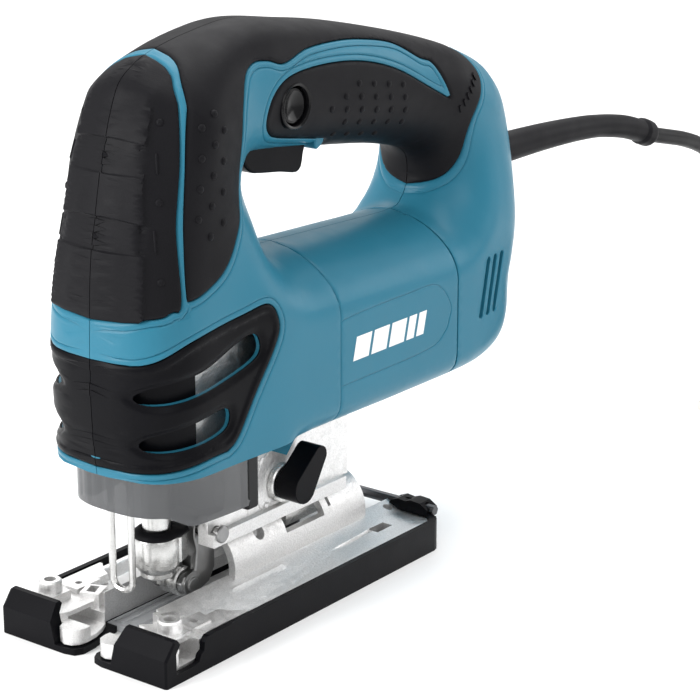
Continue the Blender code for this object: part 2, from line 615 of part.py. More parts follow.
# --- blade drive outside ---------------------------------------------------------------
def make_clamp():
    sleeve = rod("clamp_sleeve", (0, ROD_Y, 22), (0, ROD_Y, 33), 8.0, STEEL, origin=(0, ROD_Y, 22))
    join(sleeve, rod("clamp_collar", (0, ROD_Y, 19), (0, ROD_Y, 22.5), 6.0),
         box("clamp_lug", (-0.5, ROD_Y + 4, 24.5), (5.0, ROD_Y + 9.5, 30.6)))
    cut(sleeve, rod("clamp_bore", (0, ROD_Y, 26), (0, ROD_Y, 36), 5.4),
        box("blade_seat", (-0.9, ROD_Y - 4.2, 15), (0.9, ROD_Y + 3.6, 27)))
    ring("clamp_cap", 5.4, 8.0, 33.3, 36.4, SOFT, (0, ROD_Y, 0))


def make_roller_group():
    arm = [(-57.2, 34), (-57.2, 16), (-60.4, 11.3), (-66.8, 9.3), (-70.5, 9.4), (-74.4, 11.6),
           (-75, 14.6), (-73, 17), (-67.5, 18), (-66.6, 25), (-67.9, 30), (-67.6, 35), (-65, 36.6),
           (-60, 36.6)]
    yoke = prism("roller_yoke", arm, "X", -7, 7, DARK_STEEL, origin=(0, YOKE_Y, YOKE_Z))
    cut(yoke, box("roller_room", (-4.2, -80, 5), (4.2, -62.5, 22)),
        rod("roller_pin_way", (-9, -70, 13.6), (9, -70, 13.6), 1.7, sides=12),
        rod("yoke_pivot_way", (-9, YOKE_Y, YOKE_Z), (9, YOKE_Y, YOKE_Z), 2.4, sides=16))
    turned("yoke_pin", [(0, 17), (2, 17), (2, -17), (0, -17)], STEEL, (0, YOKE_Y, YOKE_Z), "X", 16)
    ring("roller", 1.8, 5.3, -3.9, 3.9, STEEL, (0, -70, 13.6), "X")
    turned("roller_pin", [(0, 8), (1.4, 8), (1.4, -8), (0, -8)], STEEL, (0, -70, 13.6), "X", 12)


def make_guards():
    half = [(0, -103.4), (10, -102.7), (17.5, -99.6), (21.6, -94.6), (24, -87), (25.2, -78), (26.0, -67),
            (26.2, -58)]
    plan = [(-x, y) for x, y in reversed(half[1:])] + half
    bm = bmesh.new()
    rows = []
    for x, y in plan:
        foot = 50 if y < -97 else 44
        rows.append([bm.verts.new((x, y, z)) for z in (foot, 72)])
    for (a, b), (c, d) in zip(rows, rows[1:]):
        bm.faces.new((a, c, d, b))
    cover = add("dust_cover", bm, SMOKED)
    skin = cover.modifiers.new("sheet", "SOLIDIFY")
    skin.thickness = 1.8 * MM
    skin.offset = -1
    bend = [(4.5 * sin(a), -97, 22 - 3.25 * cos(a)) for a in (radians(d) for d in range(-90, 91, 30))]
    route = [(-4.5, -91.4, 66), (-4.5, -94, 66), (-4.5, -96.3, 65), (-4.5, -97, 62)] + bend
    route += [(-x, y, z) for x, y, z in reversed(route[:4])]
    tube("wire_guard", route, 1.25, STEEL, 2)


def make_lever():
    angle = atan2(51.4 - 41.5, -21.4 + 30)
    hub, tip, reach = 5.8, 3.6, 13.2
    side = [(-30 + hub * cos(angle + a), 41.5 + hub * sin(angle + a)) for a in
            (radians(d) for d in range(90, 271, 20))]
    end_y, end_z = -30 + reach * cos(angle), 41.5 + reach * sin(angle)
    side += [(end_y + tip * cos(angle + a), end_z + tip * sin(angle + a))
             for a in (radians(d) for d in range(-90, 91, 20))]
    pivot = (0, -30, 41.5)
    prism("orbital_lever", side, "X", 17.4, 26.6, BLACK, origin=pivot)
    turned("orbital_shaft", [(0, 17.1), (3, 17.1), (3, -10), (0, -10)], STEEL, pivot, "X", 16)


# --- handle ------------------------------------------------------------------------
def make_handle_parts():
    outline = [(-41.5, 166), (-42, 162.5), (-38, 158.5), (-34, 154.2), (-22, 152.6), (-11.5, 150.4),
               (-7.6, 152), (-7.2, 161.5), (-30, 162.5), (-36, 166)]
    prism("trigger", outline, "X", -9, 9, BLACK, origin=(0, -38.5, 163.5))
    button = [(0, 21.6), (5.2, 21.6), (6.4, 20.6), (6.4, 14), (0, 14)]
    turned("lock_button", button, BLACK, (0, -27, 177.7), "X")
    box("switch", (-8.4, -28, 169.2), (8.4, 6, 187), BLACK, bevel=0.6)


# --- base --------------------------------------------------------------------------
def symmetric(half):
    return half + [(-x, y) for x, y in reversed(half)]


def make_base():
    plate = prism("base_plate", symmetric([(5.5, -113), (35.6, -113), (35.6, 33), (31, 37), (12, 44.5)]),
                  "Z", 2.0, 9.5, CAST)
    join(plate, box("front_blocks", (-35.5, -112.9, 2.8), (35.5, -95, 13.5)),
         box("left_rim", (30.5, -100, 3), (35.4, 32.8, 11)),
         box("right_rim", (-35.4, -100, 3), (-30.5, 32.8, 11)),
         rod("left_boss", (27.7, -104.4, 8), (27.7, -104.4, 18), 4.2),
         rod("right_boss", (-27.7, -104.4, 8), (-27.7, -104.4, 18), 4.2),
         rod("saddle", (0, -56, SADDLE_Z), (0, 20, SADDLE_Z), SADDLE_R, sides=40))
    cut(plate, box("saddle_foot", (-40, -60, -5), (40, 60, 2.3)),
        rod("saddle_hollow", (0, -60, SADDLE_Z), (0, 17, SADDLE_Z), 12.5, sides=40),
        box("saddle_channel", (-12.3, -61, -1), (12.3, 16.8, SADDLE_Z + 0.7)),
        box("bolt_slot", (-16, -26, 20.4), (16, -4, 35)),
        box("blade_opening", (-11.8, -94.2, -1), (11.8, -57, 20)),
        box("blade_notch", (-5.5, -120, -1), (5.5, -94, 20)),
        box("rule_way", (-40, -109, 4.4), (40, -98, 9.0)),
        rod("left_tap", (27.7, -104.4, 8), (27.7, -104.4, 20), 2.2, sides=16),
        rod("right_tap", (-27.7, -104.4, 8), (-27.7, -104.4, 20), 2.2, sides=16),
        box("clip_window", (17, 13, 0), (23, 25, 12)),
        rod("round_window", (15, 35, 0), (15, 35, 12), 1.8, sides=16))
    outer = symmetric([(5.5, -118), (36.5, -118), (38, -116.5), (38, 33), (36, 35), (32, 38.6), (12, 46.4)])
    tray = prism("cover_plate", outer, "Z", 0, 12, BLACK)
    inner = symmetric([(3, -113.3), (35.9, -113.3), (35.9, 33.2), (31.2, 37.3), (12.1, 44.8)])
    cut(tray, prism("tray_hollow", inner, "Z", 2.0, 20),
        box("tray_notch", (-5.5, -125, -1), (5.5, -94, 20)),
        box("tray_opening", (-11.8, -94.2, -1), (11.8, -57, 20)),
        box("tray_channel", (-12.5, -57.5, -1), (12.5, 17, 20)),
        box("tray_rule_way", (-50, -110, 4), (50, -97, 20)),
        box("tray_rear_step", (-33, 35.2, 9.4), (33, 50, 20)))
    insert = box("splinter_insert", (-11.4, -93.8, 0), (11.4, -57.6, 3), SMOKED)
    cut(insert, box("insert_slit", (-1, -95, -1), (1, -62, 5)))
    shoe = rod("clamp_shoe", (0, -19, SADDLE_Z), (0, -1, SADDLE_Z), 12.1, STEEL, sides=40)
    cut(shoe, box("shoe_foot", (-20, -25, 0), (20, 5, 19.5)),
        box("shoe_left", (8.5, -25, 0), (20, 5, 30)), box("shoe_right", (-20, -25, 0), (-8.5, 5, 30)),
        rod("shoe_bore", (0, -10, 10), (0, -10, 32), 4.4))
    turned("base_bolt", [(0, 50), (4, 50), (4, 19.2), (6, 19.2), (6, 11.5), (2.6, 11.5), (2.6, 15), (0, 15)],
           DARK_STEEL, (0, -10, 0))
    clip = box("wrench_clip", (11, 36.2, 9.9), (31, 43.8, 16.8), BLACK, bevel=0.8)
    cut(clip, rod("clip_way", (0, 40, 12.9), (40, 40, 12.9), 2.4, sides=12))
    tube("hex_wrench", [(-20, 31.5, 12.6), (-23.6, 33, 12.7), (-25, 37, 12.8), (-23.4, 39.2, 12.9),
                        (-20, 40, 12.9), (33.4, 40, 12.9)], 2.0, DARK_STEEL, 1)


# --- cord --------------------------------------------------------------------------
def make_cord():
    centre = [(0, 106, 133), (0, 110, 133), (0, 118, 133), (0, 135, 132.9), (0, 160, 132.5), (0, 185, 131.4),
              (0, 205, 129.6), (0, 225, 126), (0, 240, 121.6), (0, 247, 119.1)]
    radii = [8.4, 8.4, 8.2, 8.0, 7.6, 7.1, 6.7, 6.3, 6.4, 6.4]
    tube("cord_guard", centre, 8.4, SOFT, 4, radii)
    tube("cord_lead", [tuple(p) for p in smooth_path(CORD_ROUTE, 15)], CORD_D / 2, PVC, 2)
    x, y = COIL_CENTRE
    ring("cord_coil", COIL_MEAN_R - COIL_HALF, COIL_MEAN_R + COIL_HALF, 0.3, COIL_TOP, PVC, (x, y, 0),
         sides=32)
    tube("cord_tail", [tuple(p) for p in smooth_path(TAIL_ROUTE, 10)], CORD_D / 2, PVC, 2)
    make_plug()


def make_plug():
    """Round two-pin plug lying on the floor, its pins pointing away from the cord."""
    entry = Vector((91.3, 263.3, 12.3))
    away = Vector((-0.48, -0.877, 0)).normalized()
    turn = Matrix((Vector((away.y, -away.x, 0)), Vector((0, 0, 1)), away)).transposed().to_4x4()
    place = Matrix.Translation(entry) @ turn
    bm = bmesh.new()
    rings = []
    for at, wide, high in ((0, 5.5, 5.5), (14, 7, 6.6), (22, 12, 9.5), (32, 17.5, 12), (46, 17.5, 12)):
        spots = [(tau * (k + 0.5) / 20) for k in range(20)]
        rings.append([bm.verts.new((wide * cos(a), high * sin(a), at)) for a in spots])
    for low, top in zip(rings, rings[1:]):
        for k in range(20):
            bm.faces.new((low[k], low[(k + 1) % 20], top[(k + 1) % 20], top[k]))
    bm.faces.new(rings[-1])
    bm.faces.new(rings[0][::-1])
    bmesh.ops.transform(bm, matrix=place, verts=bm.verts)
    bmesh.ops.recalc_face_normals(bm, faces=bm.faces)
    add("plug_body", bm, BLACK)
    for k, x in enumerate((-9.5, 9.5)):
        start, end = (place @ Vector((x, 0, at)) for at in (46.3, 65))
        rod(f"plug_pin_{k + 1}", start, end, 2.4, STEEL, sides=16)


make_clamshell()
make_gear_housing()
make_motor()
make_gear_train()
make_clamp()
make_roller_group()
make_guards()
make_lever()
make_handle_parts()
make_base()
make_cord()
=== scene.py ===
"""Looks for a corded jigsaw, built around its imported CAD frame.

Helpers take millimetres and objects are in metres. +Z is up, the blade end faces -Y,
+X is the tool's left side and X = 0 its plane of symmetry.
"""

import json
from math import cos, exp, radians, sin, tau

import bmesh
import bpy
import numpy as np
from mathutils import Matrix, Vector
from mathutils.geometry import delaunay_2d_cdt

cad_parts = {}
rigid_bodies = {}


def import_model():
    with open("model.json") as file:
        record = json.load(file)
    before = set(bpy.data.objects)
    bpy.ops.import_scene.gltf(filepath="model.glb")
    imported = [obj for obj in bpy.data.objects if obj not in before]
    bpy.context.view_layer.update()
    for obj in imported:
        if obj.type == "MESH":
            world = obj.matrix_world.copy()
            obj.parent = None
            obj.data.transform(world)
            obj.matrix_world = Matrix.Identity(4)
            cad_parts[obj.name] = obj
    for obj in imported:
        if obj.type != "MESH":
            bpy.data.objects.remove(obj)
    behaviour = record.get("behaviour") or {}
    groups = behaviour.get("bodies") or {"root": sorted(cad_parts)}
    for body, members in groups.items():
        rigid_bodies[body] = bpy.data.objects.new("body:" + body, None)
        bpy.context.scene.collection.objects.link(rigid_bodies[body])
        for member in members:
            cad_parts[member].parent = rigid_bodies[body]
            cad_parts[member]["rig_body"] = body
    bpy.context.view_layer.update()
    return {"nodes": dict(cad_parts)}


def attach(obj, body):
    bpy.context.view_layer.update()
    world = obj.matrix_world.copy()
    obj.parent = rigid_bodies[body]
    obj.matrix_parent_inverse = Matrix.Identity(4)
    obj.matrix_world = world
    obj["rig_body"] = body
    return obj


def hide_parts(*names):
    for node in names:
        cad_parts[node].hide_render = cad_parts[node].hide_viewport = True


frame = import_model()

MM = 0.001
GAP = 0.3                       # between neighbours that touch
SIDES = (("left", False), ("right", True))      # which side, and whether it is mirrored
ON_SIDES = ((-1, "right"), (1, "left"))         # sign of x on each side

# --- the body, with the same driving dimensions as its CAD ---------------------------
BODY_HALF = 32.0
NOSE_HALF = 27.5
NOSE_FOOT_HALF = 30.5
HANDLE_HALF = 21.0
REAR_HALF = 25.0
REAR_TAPER = 0.14
WALL = 3.4
PAD = 1.5
RECESS = 2.1
RING_Z = 64.0
JOINT_FRONT = -16.5
JOINT_REAR = 55.5
ROD_Y = -79.5
ROLLER_CENTRE = (0, -70, 13.6)
YOKE_PIVOT = (0, -64.8, 33)
LEVER_PIVOT = (0, -30, 41.5)
FLANK_X = 14.5                  # flank of the gear housing
LOCK_SPOT = (-27.0, 177.7)
SCREW_SPOTS = [(-60, 186), (40, 171), (97, 150), (93, 78), (-27, 111)]
CORD_D = 7.0
COIL_CENTRE = (60.0, 336.0)
COIL_COLUMNS = (44.5, 37.5)     # radii of the coil's turns
COIL_LEVELS = (3.9, 11.0, 18.1, 25.2)
COIL_START = radians(66)
COIL_OVERRUN = radians(52)      # how far the last turn runs on past whole turns
COIL_STEPS = 24                 # points for each turn

SIDE_OUTLINE = [
    (-107.7, 20), (-107.7, 50), (-107.9, 64), (-109.3, 75), (-110, 92), (-109.4, 106), (-108.3, 127.5),
    (-106.7, 142), (-104.4, 153), (-101.5, 166.5), (-98.4, 177), (-95.3, 186), (-91.5, 193.3),
    (-84.4, 198.2), (-75.6, 201.5), (-57.6, 205), (-36, 207), (-10, 203.6), (18, 199), (60, 189),
    (95, 177.6), (107, 170), (114, 160), (117.6, 146), (118, 128), (116, 104), (111.5, 88), (104.5, 73),
    (95, 63.5), (82, 59), (64, 57.7), (20, 57.7), (-30, 58), (-37, 55), (-38, 40), (-38, 20)]
HOLE_OUTLINE = [
    (-36, 131), (-39.5, 143), (-43.5, 156), (-40.5, 160.3), (-30, 160.3), (-8, 157.6), (16, 154.5),
    (36, 151.5), (52, 148), (61.5, 145), (65.5, 140.5), (65.8, 132), (62.5, 126), (55, 122.8),
    (20, 123.8), (-16.5, 125.2), (-30, 126)]
GRIP_REGION = [
    (-70, 220), (-73, 206), (-75.5, 199), (-80.7, 191.7), (-85.8, 177), (-89.3, 156.6), (-92, 129),
    (-89.9, 124.9), (-75, 130.5), (-65, 141), (-60, 150), (-58, 170), (-56.5, 184), (-53, 192),
    (-47, 195.3), (-39.8, 195), (-31.8, 193), (-17.9, 195.8), (1.4, 195.8), (18, 194), (34.8, 190.4),
    (48, 183.5), (56, 180), (63.5, 167), (55, 170.5), (32.4, 181.5), (11.4, 187.4), (-10.7, 189.4),
    (-29.3, 188.1), (-38.4, 182.8), (-41.5, 175), (-38, 170), (-30, 166.8), (-10, 162.9), (0, 160.5),
    (4.5, 156), (8, 146), (30, 135), (58, 129),
    (67.7, 132.3), (74, 141.6), (76.7, 157), (83, 165.5), (86.5, 173), (82.5, 180.5), (76, 187),
    (71, 220)]
NOSE_REGION = [
    (-130, 119.5), (-103.5, 120.2), (-97.7, 122.2), (-94.2, 124.5), (-92.4, 150), (-85.4, 186),
    (-80.9, 195.5), (-79, 201), (-78, 206), (-77, 220), (-130, 220)]
VENT_REGION = [
    (-130, 104), (-109, 104.4), (-104.7, 105.3), (-91.2, 111.3), (-66.9, 114.8), (-54.7, 115.9),
    (-50.4, 111), (-50.8, 103), (-62.4, 85.7), (-70.1, 73.8), (-75, 70.2), (-81.5, 69.6), (-130, 69.2)]
UPPER_SLOT = [(-104, 91), (-104, 96.8), (-84, 100.5), (-64, 107), (-58.5, 104), (-61, 98), (-80, 93)]
LOWER_SLOT = [(-104, 74.8), (-104, 80), (-90, 83), (-76, 84.5), (-73.5, 80.5), (-77, 76.5), (-90, 74.6)]
CORD_ROUTE = [
    (0, 248.3, 118.8), (0, 262, 115.4), (-0.3, 280, 111), (-1.5, 300, 104), (-4, 322, 92), (-7, 344, 74),
    (-9, 362, 53), (-7, 378, 31), (0, 391, 14), (14, 398, 5.6), (34, 397.5, 4), (52, 394, 3.9),
    (62, 391.6, 3.9)]
TAIL_ROUTE = [
    (106.2, 311, 25), (105.8, 300, 23.6), (103.8, 290, 19.8), (100.2, 280, 15.6), (95.8, 271.2, 13),
    (91.9, 264.4, 12.3)]

# --- studio --------------------------------------------------------------------------
CAMERA_AT = Vector((0.502, -0.625, 0.332))
CAMERA_AZIMUTH = radians(37.45)
CAMERA_ELEVATION = radians(17.43)
CAMERA_LENS = 118.1
WORLD_LIGHT = 0.6
FLOOR_COLOUR = (0.93, 0.93, 0.93)


def linked(name, data):
    """New object in the scene."""
    obj = bpy.data.objects.new(name, data)
    bpy.context.scene.collection.objects.link(obj)
    return obj


def make_camera():
    camera = linked("camera", bpy.data.cameras.new("camera"))
    level = cos(CAMERA_ELEVATION)
    back = Vector((sin(CAMERA_AZIMUTH) * level, -cos(CAMERA_AZIMUTH) * level, sin(CAMERA_ELEVATION)))
    camera.location = CAMERA_AT
    camera.rotation_euler = (-back).to_track_quat("-Z", "Y").to_euler()
    camera.data.lens = CAMERA_LENS
    camera.data.sensor_width = 36
    camera.data.clip_end = 20
    bpy.context.scene.camera = camera


def area_light(name, place, aim, size, power, colour=(1, 1, 1)):
    data = bpy.data.lights.new(name, "AREA")
    data.shape = "RECTANGLE"
    data.size, data.size_y = size
    data.energy = power
    data.color = colour
    lamp = linked(name, data)
    lamp.location = place
    lamp.rotation_euler = (Vector(aim) - Vector(place)).to_track_quat("-Z", "Y").to_euler()


def make_studio():
    make_camera()
    world = bpy.data.worlds.new("studio")
    world.use_nodes = True
    world.node_tree.nodes["Background"].inputs["Color"].default_value = (1, 1, 1, 1)
    world.node_tree.nodes["Background"].inputs["Strength"].default_value = WORLD_LIGHT
    bpy.context.scene.world = world
    bpy.context.scene.view_settings.view_transform = "Standard"
    centre = (0, 0, 0.09)
    area_light("over", (0.0, 0.15, 1.25), centre, (0.9, 1.3), 12)
    area_light("key", (0.95, -0.55, 0.85), centre, (0.6, 0.9), 3.2)
    area_light("front", (-0.55, -1.1, 0.6), centre, (0.6, 0.9), 15)
    area_light("rear", (0.6, 1.0, 0.5), centre, (0.9, 0.5), 3)
    area_light("backdrop", (-1.9, 2.5, 2.4), (-1.9, 2.5, 0), (4, 4), 75)
    bpy.ops.mesh.primitive_grid_add(x_subdivisions=2, y_subdivisions=2, size=9, location=(0, 0, 0))
    floor = bpy.context.object
    floor.name = "floor"
    floor.data.materials.append(matte("floor", FLOOR_COLOUR, 0.6))


# --- materials -----------------------------------------------------------------------
def new_material(name, colour, rough, metal=0.0):
    mat = bpy.data.materials.new(name)
    mat.use_nodes = True
    shader = mat.node_tree.nodes["Principled BSDF"]
    shader.inputs["Base Color"].default_value = (*colour, 1)
    shader.inputs["Roughness"].default_value = rough
    shader.inputs["Metallic"].default_value = metal
    return mat, mat.node_tree, shader


def noise(tree, scale, detail=3.0, stretch=(1, 1, 1)):
    """Noise over the piece's own coordinates, with about scale spots to the metre."""
    where = tree.nodes.new("ShaderNodeTexCoord")
    spread = tree.nodes.new("ShaderNodeMapping")
    spread.inputs["Scale"].default_value = stretch
    spots = tree.nodes.new("ShaderNodeTexNoise")
    spots.inputs["Scale"].default_value = scale
    spots.inputs["Detail"].default_value = detail
    tree.links.new(where.outputs["Object"], spread.inputs["Vector"])
    tree.links.new(spread.outputs["Vector"], spots.inputs["Vector"])
    return spots.outputs["Fac"]


def ranged(tree, value, low, high, lo_in=0.3, hi_in=0.7):
    node = tree.nodes.new("ShaderNodeMapRange")
    node.inputs["From Min"].default_value = lo_in
    node.inputs["From Max"].default_value = hi_in
    node.inputs["To Min"].default_value = low
    node.inputs["To Max"].default_value = high
    tree.links.new(value, node.inputs["Value"])
    return node.outputs["Result"]


def vary_rough(tree, shader, value, low, high):
    tree.links.new(ranged(tree, value, low, high), shader.inputs["Roughness"])


def vary_colour(tree, shader, value, dark, light):
    ramp = tree.nodes.new("ShaderNodeValToRGB")
    ramp.color_ramp.elements[0].position = 0.3
    ramp.color_ramp.elements[0].color = (*dark, 1)
    ramp.color_ramp.elements[1].position = 0.7
    ramp.color_ramp.elements[1].color = (*light, 1)
    tree.links.new(value, ramp.inputs["Fac"])
    tree.links.new(ramp.outputs["Color"], shader.inputs["Base Color"])


def raise_grain(tree, shader, layers):
    """layers: (height value, strength, depth in millimetres), one on the other."""
    normal = None
    for value, strength, depth in layers:
        bump = tree.nodes.new("ShaderNodeBump")
        bump.inputs["Strength"].default_value = strength
        bump.inputs["Distance"].default_value = depth * MM
        tree.links.new(value, bump.inputs["Height"])
        if normal is not None:
            tree.links.new(normal, bump.inputs["Normal"])
        normal = bump.outputs["Normal"]
    tree.links.new(normal, shader.inputs["Normal"])


def scaled(colour, factor):
    return tuple(min(1.0, c * factor) for c in colour)


def matte(name, colour, rough):
    return new_material(name, colour, rough)[0]


def moulded(name, colour, rough, grain_scale, grain_depth, tint=0.06, grain_strength=0.5, gloss=0.2):
    """Moulded plastic or rubber: spark-eroded grain, faint clouding, uneven gloss."""
    mat, tree, shader = new_material(name, colour, rough)
    shader.inputs["Specular IOR Level"].default_value = gloss
    clouds = noise(tree, 34, 4)
    fine = noise(tree, grain_scale, 2)
    vary_colour(tree, shader, clouds, scaled(colour, 1 - tint), scaled(colour, 1 + tint))
    vary_rough(tree, shader, noise(tree, 120, 3), rough - 0.04, rough + 0.05)
    raise_grain(tree, shader, [(fine, grain_strength, grain_depth)])
    return mat


def cast_metal(name, colour, rough, pit_depth=0.12):
    """Die-cast alloy with a tumbled, granular skin and a few darker patches."""
    mat, tree, shader = new_material(name, colour, rough, 1.0)
    patches = noise(tree, 1900, 4)
    vary_colour(tree, shader, patches, scaled(colour, 0.84), scaled(colour, 1.03))
    vary_rough(tree, shader, noise(tree, 400, 3), rough - 0.07, rough + 0.12)
    raise_grain(tree, shader, [(noise(tree, 1300, 3), 0.8, pit_depth), (noise(tree, 260, 3), 0.25, 0.25)])
    return mat


def ground_metal(name, colour, rough, stretch=(1, 1, 14), scratch=0.02):
    """Ground or turned steel, its fine scratches drawn out across one axis."""
    mat, tree, shader = new_material(name, colour, rough, 1.0)
    lines = noise(tree, 900, 4, stretch)
    vary_colour(tree, shader, noise(tree, 260, 4), scaled(colour, 0.93), scaled(colour, 1.05))
    vary_rough(tree, shader, lines, rough - 0.04, rough + 0.08)
    raise_grain(tree, shader, [(lines, 0.25, scratch)])
    return mat


def smoked_clear(name, colour, alpha):
    mat, tree, shader = new_material(name, colour, 0.06)
    shader.inputs["Alpha"].default_value = alpha
    shader.inputs["IOR"].default_value = 1.55
    shader.inputs["Specular IOR Level"].default_value = 0.9
    raise_grain(tree, shader, [(noise(tree, 70, 2), 0.25, 0.3)])
    return mat


BLUE_COLOUR = (0.022, 0.158, 0.238)
MATERIALS = {
    "blue": lambda: moulded("blue_plastic", BLUE_COLOUR, 0.34, 1700, 0.03, 0.025, 0.35, 0.22),
    "soft": lambda: moulded("soft_grip", (0.0062, 0.0060, 0.0075), 0.5, 2300, 0.06, 0.10, 0.6, 0.10),
    "black": lambda: moulded("black_plastic", (0.0036, 0.0036, 0.0048), 0.36, 1500, 0.05, 0.10, 0.5, 0.07),
    "gloss_black": lambda: moulded("gloss_black_plastic", (0.003, 0.003, 0.0036), 0.16, 900, 0.01, 0.10, 0.2),
    "cast": lambda: cast_metal("cast_alloy", (0.86, 0.855, 0.85), 0.46, 0.2),
    "steel": lambda: ground_metal("ground_steel", (0.62, 0.62, 0.61), 0.27),
    "pressed": lambda: ground_metal("pressed_steel", (0.30, 0.30, 0.30), 0.34, (1, 1, 1)),
    "dark_steel": lambda: ground_metal("black_steel", (0.10, 0.10, 0.105), 0.36, (1, 1, 1)),
    "copper": lambda: ground_metal("copper", (0.72, 0.34, 0.17), 0.34, (1, 12, 1)),
    "bronze": lambda: cast_metal("bronze", (0.55, 0.38, 0.17), 0.4, 0.05),
    "brass": lambda: ground_metal("brass", (0.72, 0.56, 0.25), 0.33),
    "carbon": lambda: moulded("carbon", (0.03, 0.03, 0.03), 0.7, 1200, 0.05),
    "smoked": lambda: smoked_clear("smoked_clear", (0.016, 0.019, 0.024), 0.84),
    "print": lambda: matte("white_print", (0.86, 0.87, 0.87), 0.45),
    "smoked_pale": lambda: smoked_clear("clear_plastic", (0.62, 0.64, 0.66), 0.42),
    "sheath": lambda: moulded("cord_sheath", (0.007, 0.007, 0.0078), 0.42, 2600, 0.05, 0.12, 0.6, 0.12),
    "pin": lambda: ground_metal("plated_pin", (0.72, 0.70, 0.66), 0.2),
}
made = {}


def finish_of(kind):
    if kind not in made:
        made[kind] = MATERIALS[kind]()
    return made[kind]


# --- shaping helpers -------------------------------------------------------------------
def mesh_object(name, verts, faces, kind, body, *nodes, smooth_angle=38):
    """A piece from millimetre points, riding on a body and standing for CAD nodes."""
    mesh = bpy.data.meshes.new(name)
    points = [tuple(float(c) * MM for c in v) for v in verts]
    mesh.from_pydata(points, [], [tuple(map(int, f)) for f in faces])
    mesh.validate()
    return as_piece(name, mesh, kind, body, *nodes, smooth_angle=smooth_angle)


def as_piece(name, mesh, kind, body, *nodes, smooth_angle=38):
    mesh.materials.clear()
    mesh.materials.append(finish_of(kind))
    if smooth_angle:
        mesh.shade_smooth()
        mesh.set_sharp_from_angle(angle=radians(smooth_angle))
    return in_place(linked(name, mesh), body, nodes)


def in_place(obj, body, nodes):
    """Ties a piece to its body and the CAD nodes that it stands for."""
    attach(obj, body)
    if nodes:
        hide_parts(*nodes)
    return obj


def to_mesh(bm, name):
    mesh = bpy.data.meshes.new(name)
    bm.to_mesh(mesh)
    bm.free()
    return mesh


def round_edges(obj, width, segments, angle, harden=True):
    rounding = obj.modifiers.new("edges", "BEVEL")
    rounding.width = width * MM
    rounding.segments = segments
    rounding.limit_method = "ANGLE"
    rounding.angle_limit = radians(angle)
    rounding.use_clamp_overlap = True
    rounding.harden_normals = harden


def refined(node, kind, width=0.4, segments=2, angle=32):
    """The CAD node's own solid with its edges rounded and its finish on."""
    source = frame["nodes"][node]
    bm = bmesh.new()
    bm.from_mesh(source.data)
    bmesh.ops.remove_doubles(bm, verts=bm.verts, dist=0.002 * MM)
    bmesh.ops.dissolve_limit(bm, angle_limit=radians(1), verts=bm.verts, edges=bm.edges)
    bmesh.ops.triangulate(bm, faces=[f for f in bm.faces if len(f.verts) > 4])
    bmesh.ops.recalc_face_normals(bm, faces=bm.faces)
    mesh = to_mesh(bm, node + "_fine")
    obj = as_piece(node + "_fine", mesh, kind, source["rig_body"], node, smooth_angle=angle)
    if width:
        round_edges(obj, width, segments, angle, harden=False)
    return obj


# --- the moulded body surface ----------------------------------------------------------
def run_along(points):
    """Length from the first point to each one."""
    return np.concatenate(([0], np.cumsum(np.linalg.norm(np.diff(points, axis=0), axis=1))))


def smooth_path(points, spacing, closed=False):
    """Even points on the Catmull-Rom curve through the given ones."""
    pts = [np.array(p, float) for p in points]
    count = len(pts)
    dense = []
    for i in range(count if closed else count - 1):
        if closed:
            p0, p1, p2, p3 = (pts[(i + k - 1) % count] for k in range(4))
        else:
            p1, p2 = pts[i], pts[i + 1]
            p0 = pts[i - 1] if i else 2 * p1 - p2
            p3 = pts[i + 2] if i + 2 < count else 2 * p2 - p1
        for t in np.linspace(0, 1, 12, endpoint=False):
            dense.append(0.5 * (2 * p1 + (p2 - p0) * t + (2 * p0 - 5 * p1 + 4 * p2 - p3) * t ** 2
                                + (3 * p1 - p0 - 3 * p2 + p3) * t ** 3))
    dense.append(pts[0] if closed else pts[-1])
    dense = np.array(dense)
    run = run_along(dense)
    steps = max(2, round(run[-1] / spacing))
    at = np.linspace(0, run[-1], steps + 1)
    even = np.stack([np.interp(at, run, dense[:, k]) for k in range(dense.shape[1])], axis=1)
    return even[:-1] if closed else even


def smoothstep(a, b, t):
    s = np.clip((t - a) / (b - a), 0, 1)
    return s * s * (3 - 2 * s)


def edge_distance(p, loops):
    """Distance from points to the nearest segment of the closed loops."""
    best = np.full(len(p), 1e9)
    for loop in loops:
        a = loop
        d = np.roll(loop, -1, axis=0) - a
        rel = p[:, None, :] - a[None]
        t = np.clip((rel * d).sum(2) / (d * d).sum(1), 0, 1)
        best = np.minimum(best, np.linalg.norm(rel - t[..., None] * d, axis=2).min(1))
    return best


def inside(p, loop):
    x, y = p[:, 0][:, None], p[:, 1][:, None]
    a, b = loop, np.roll(loop, -1, axis=0)
    crosses = (a[:, 1] > y) != (b[:, 1] > y)
    at = a[:, 0] + (y - a[:, 1]) * (b[:, 0] - a[:, 0]) / (b[:, 1] - a[:, 1] + 1e-12)
    return (crosses & (x < at)).sum(1) % 2 == 1


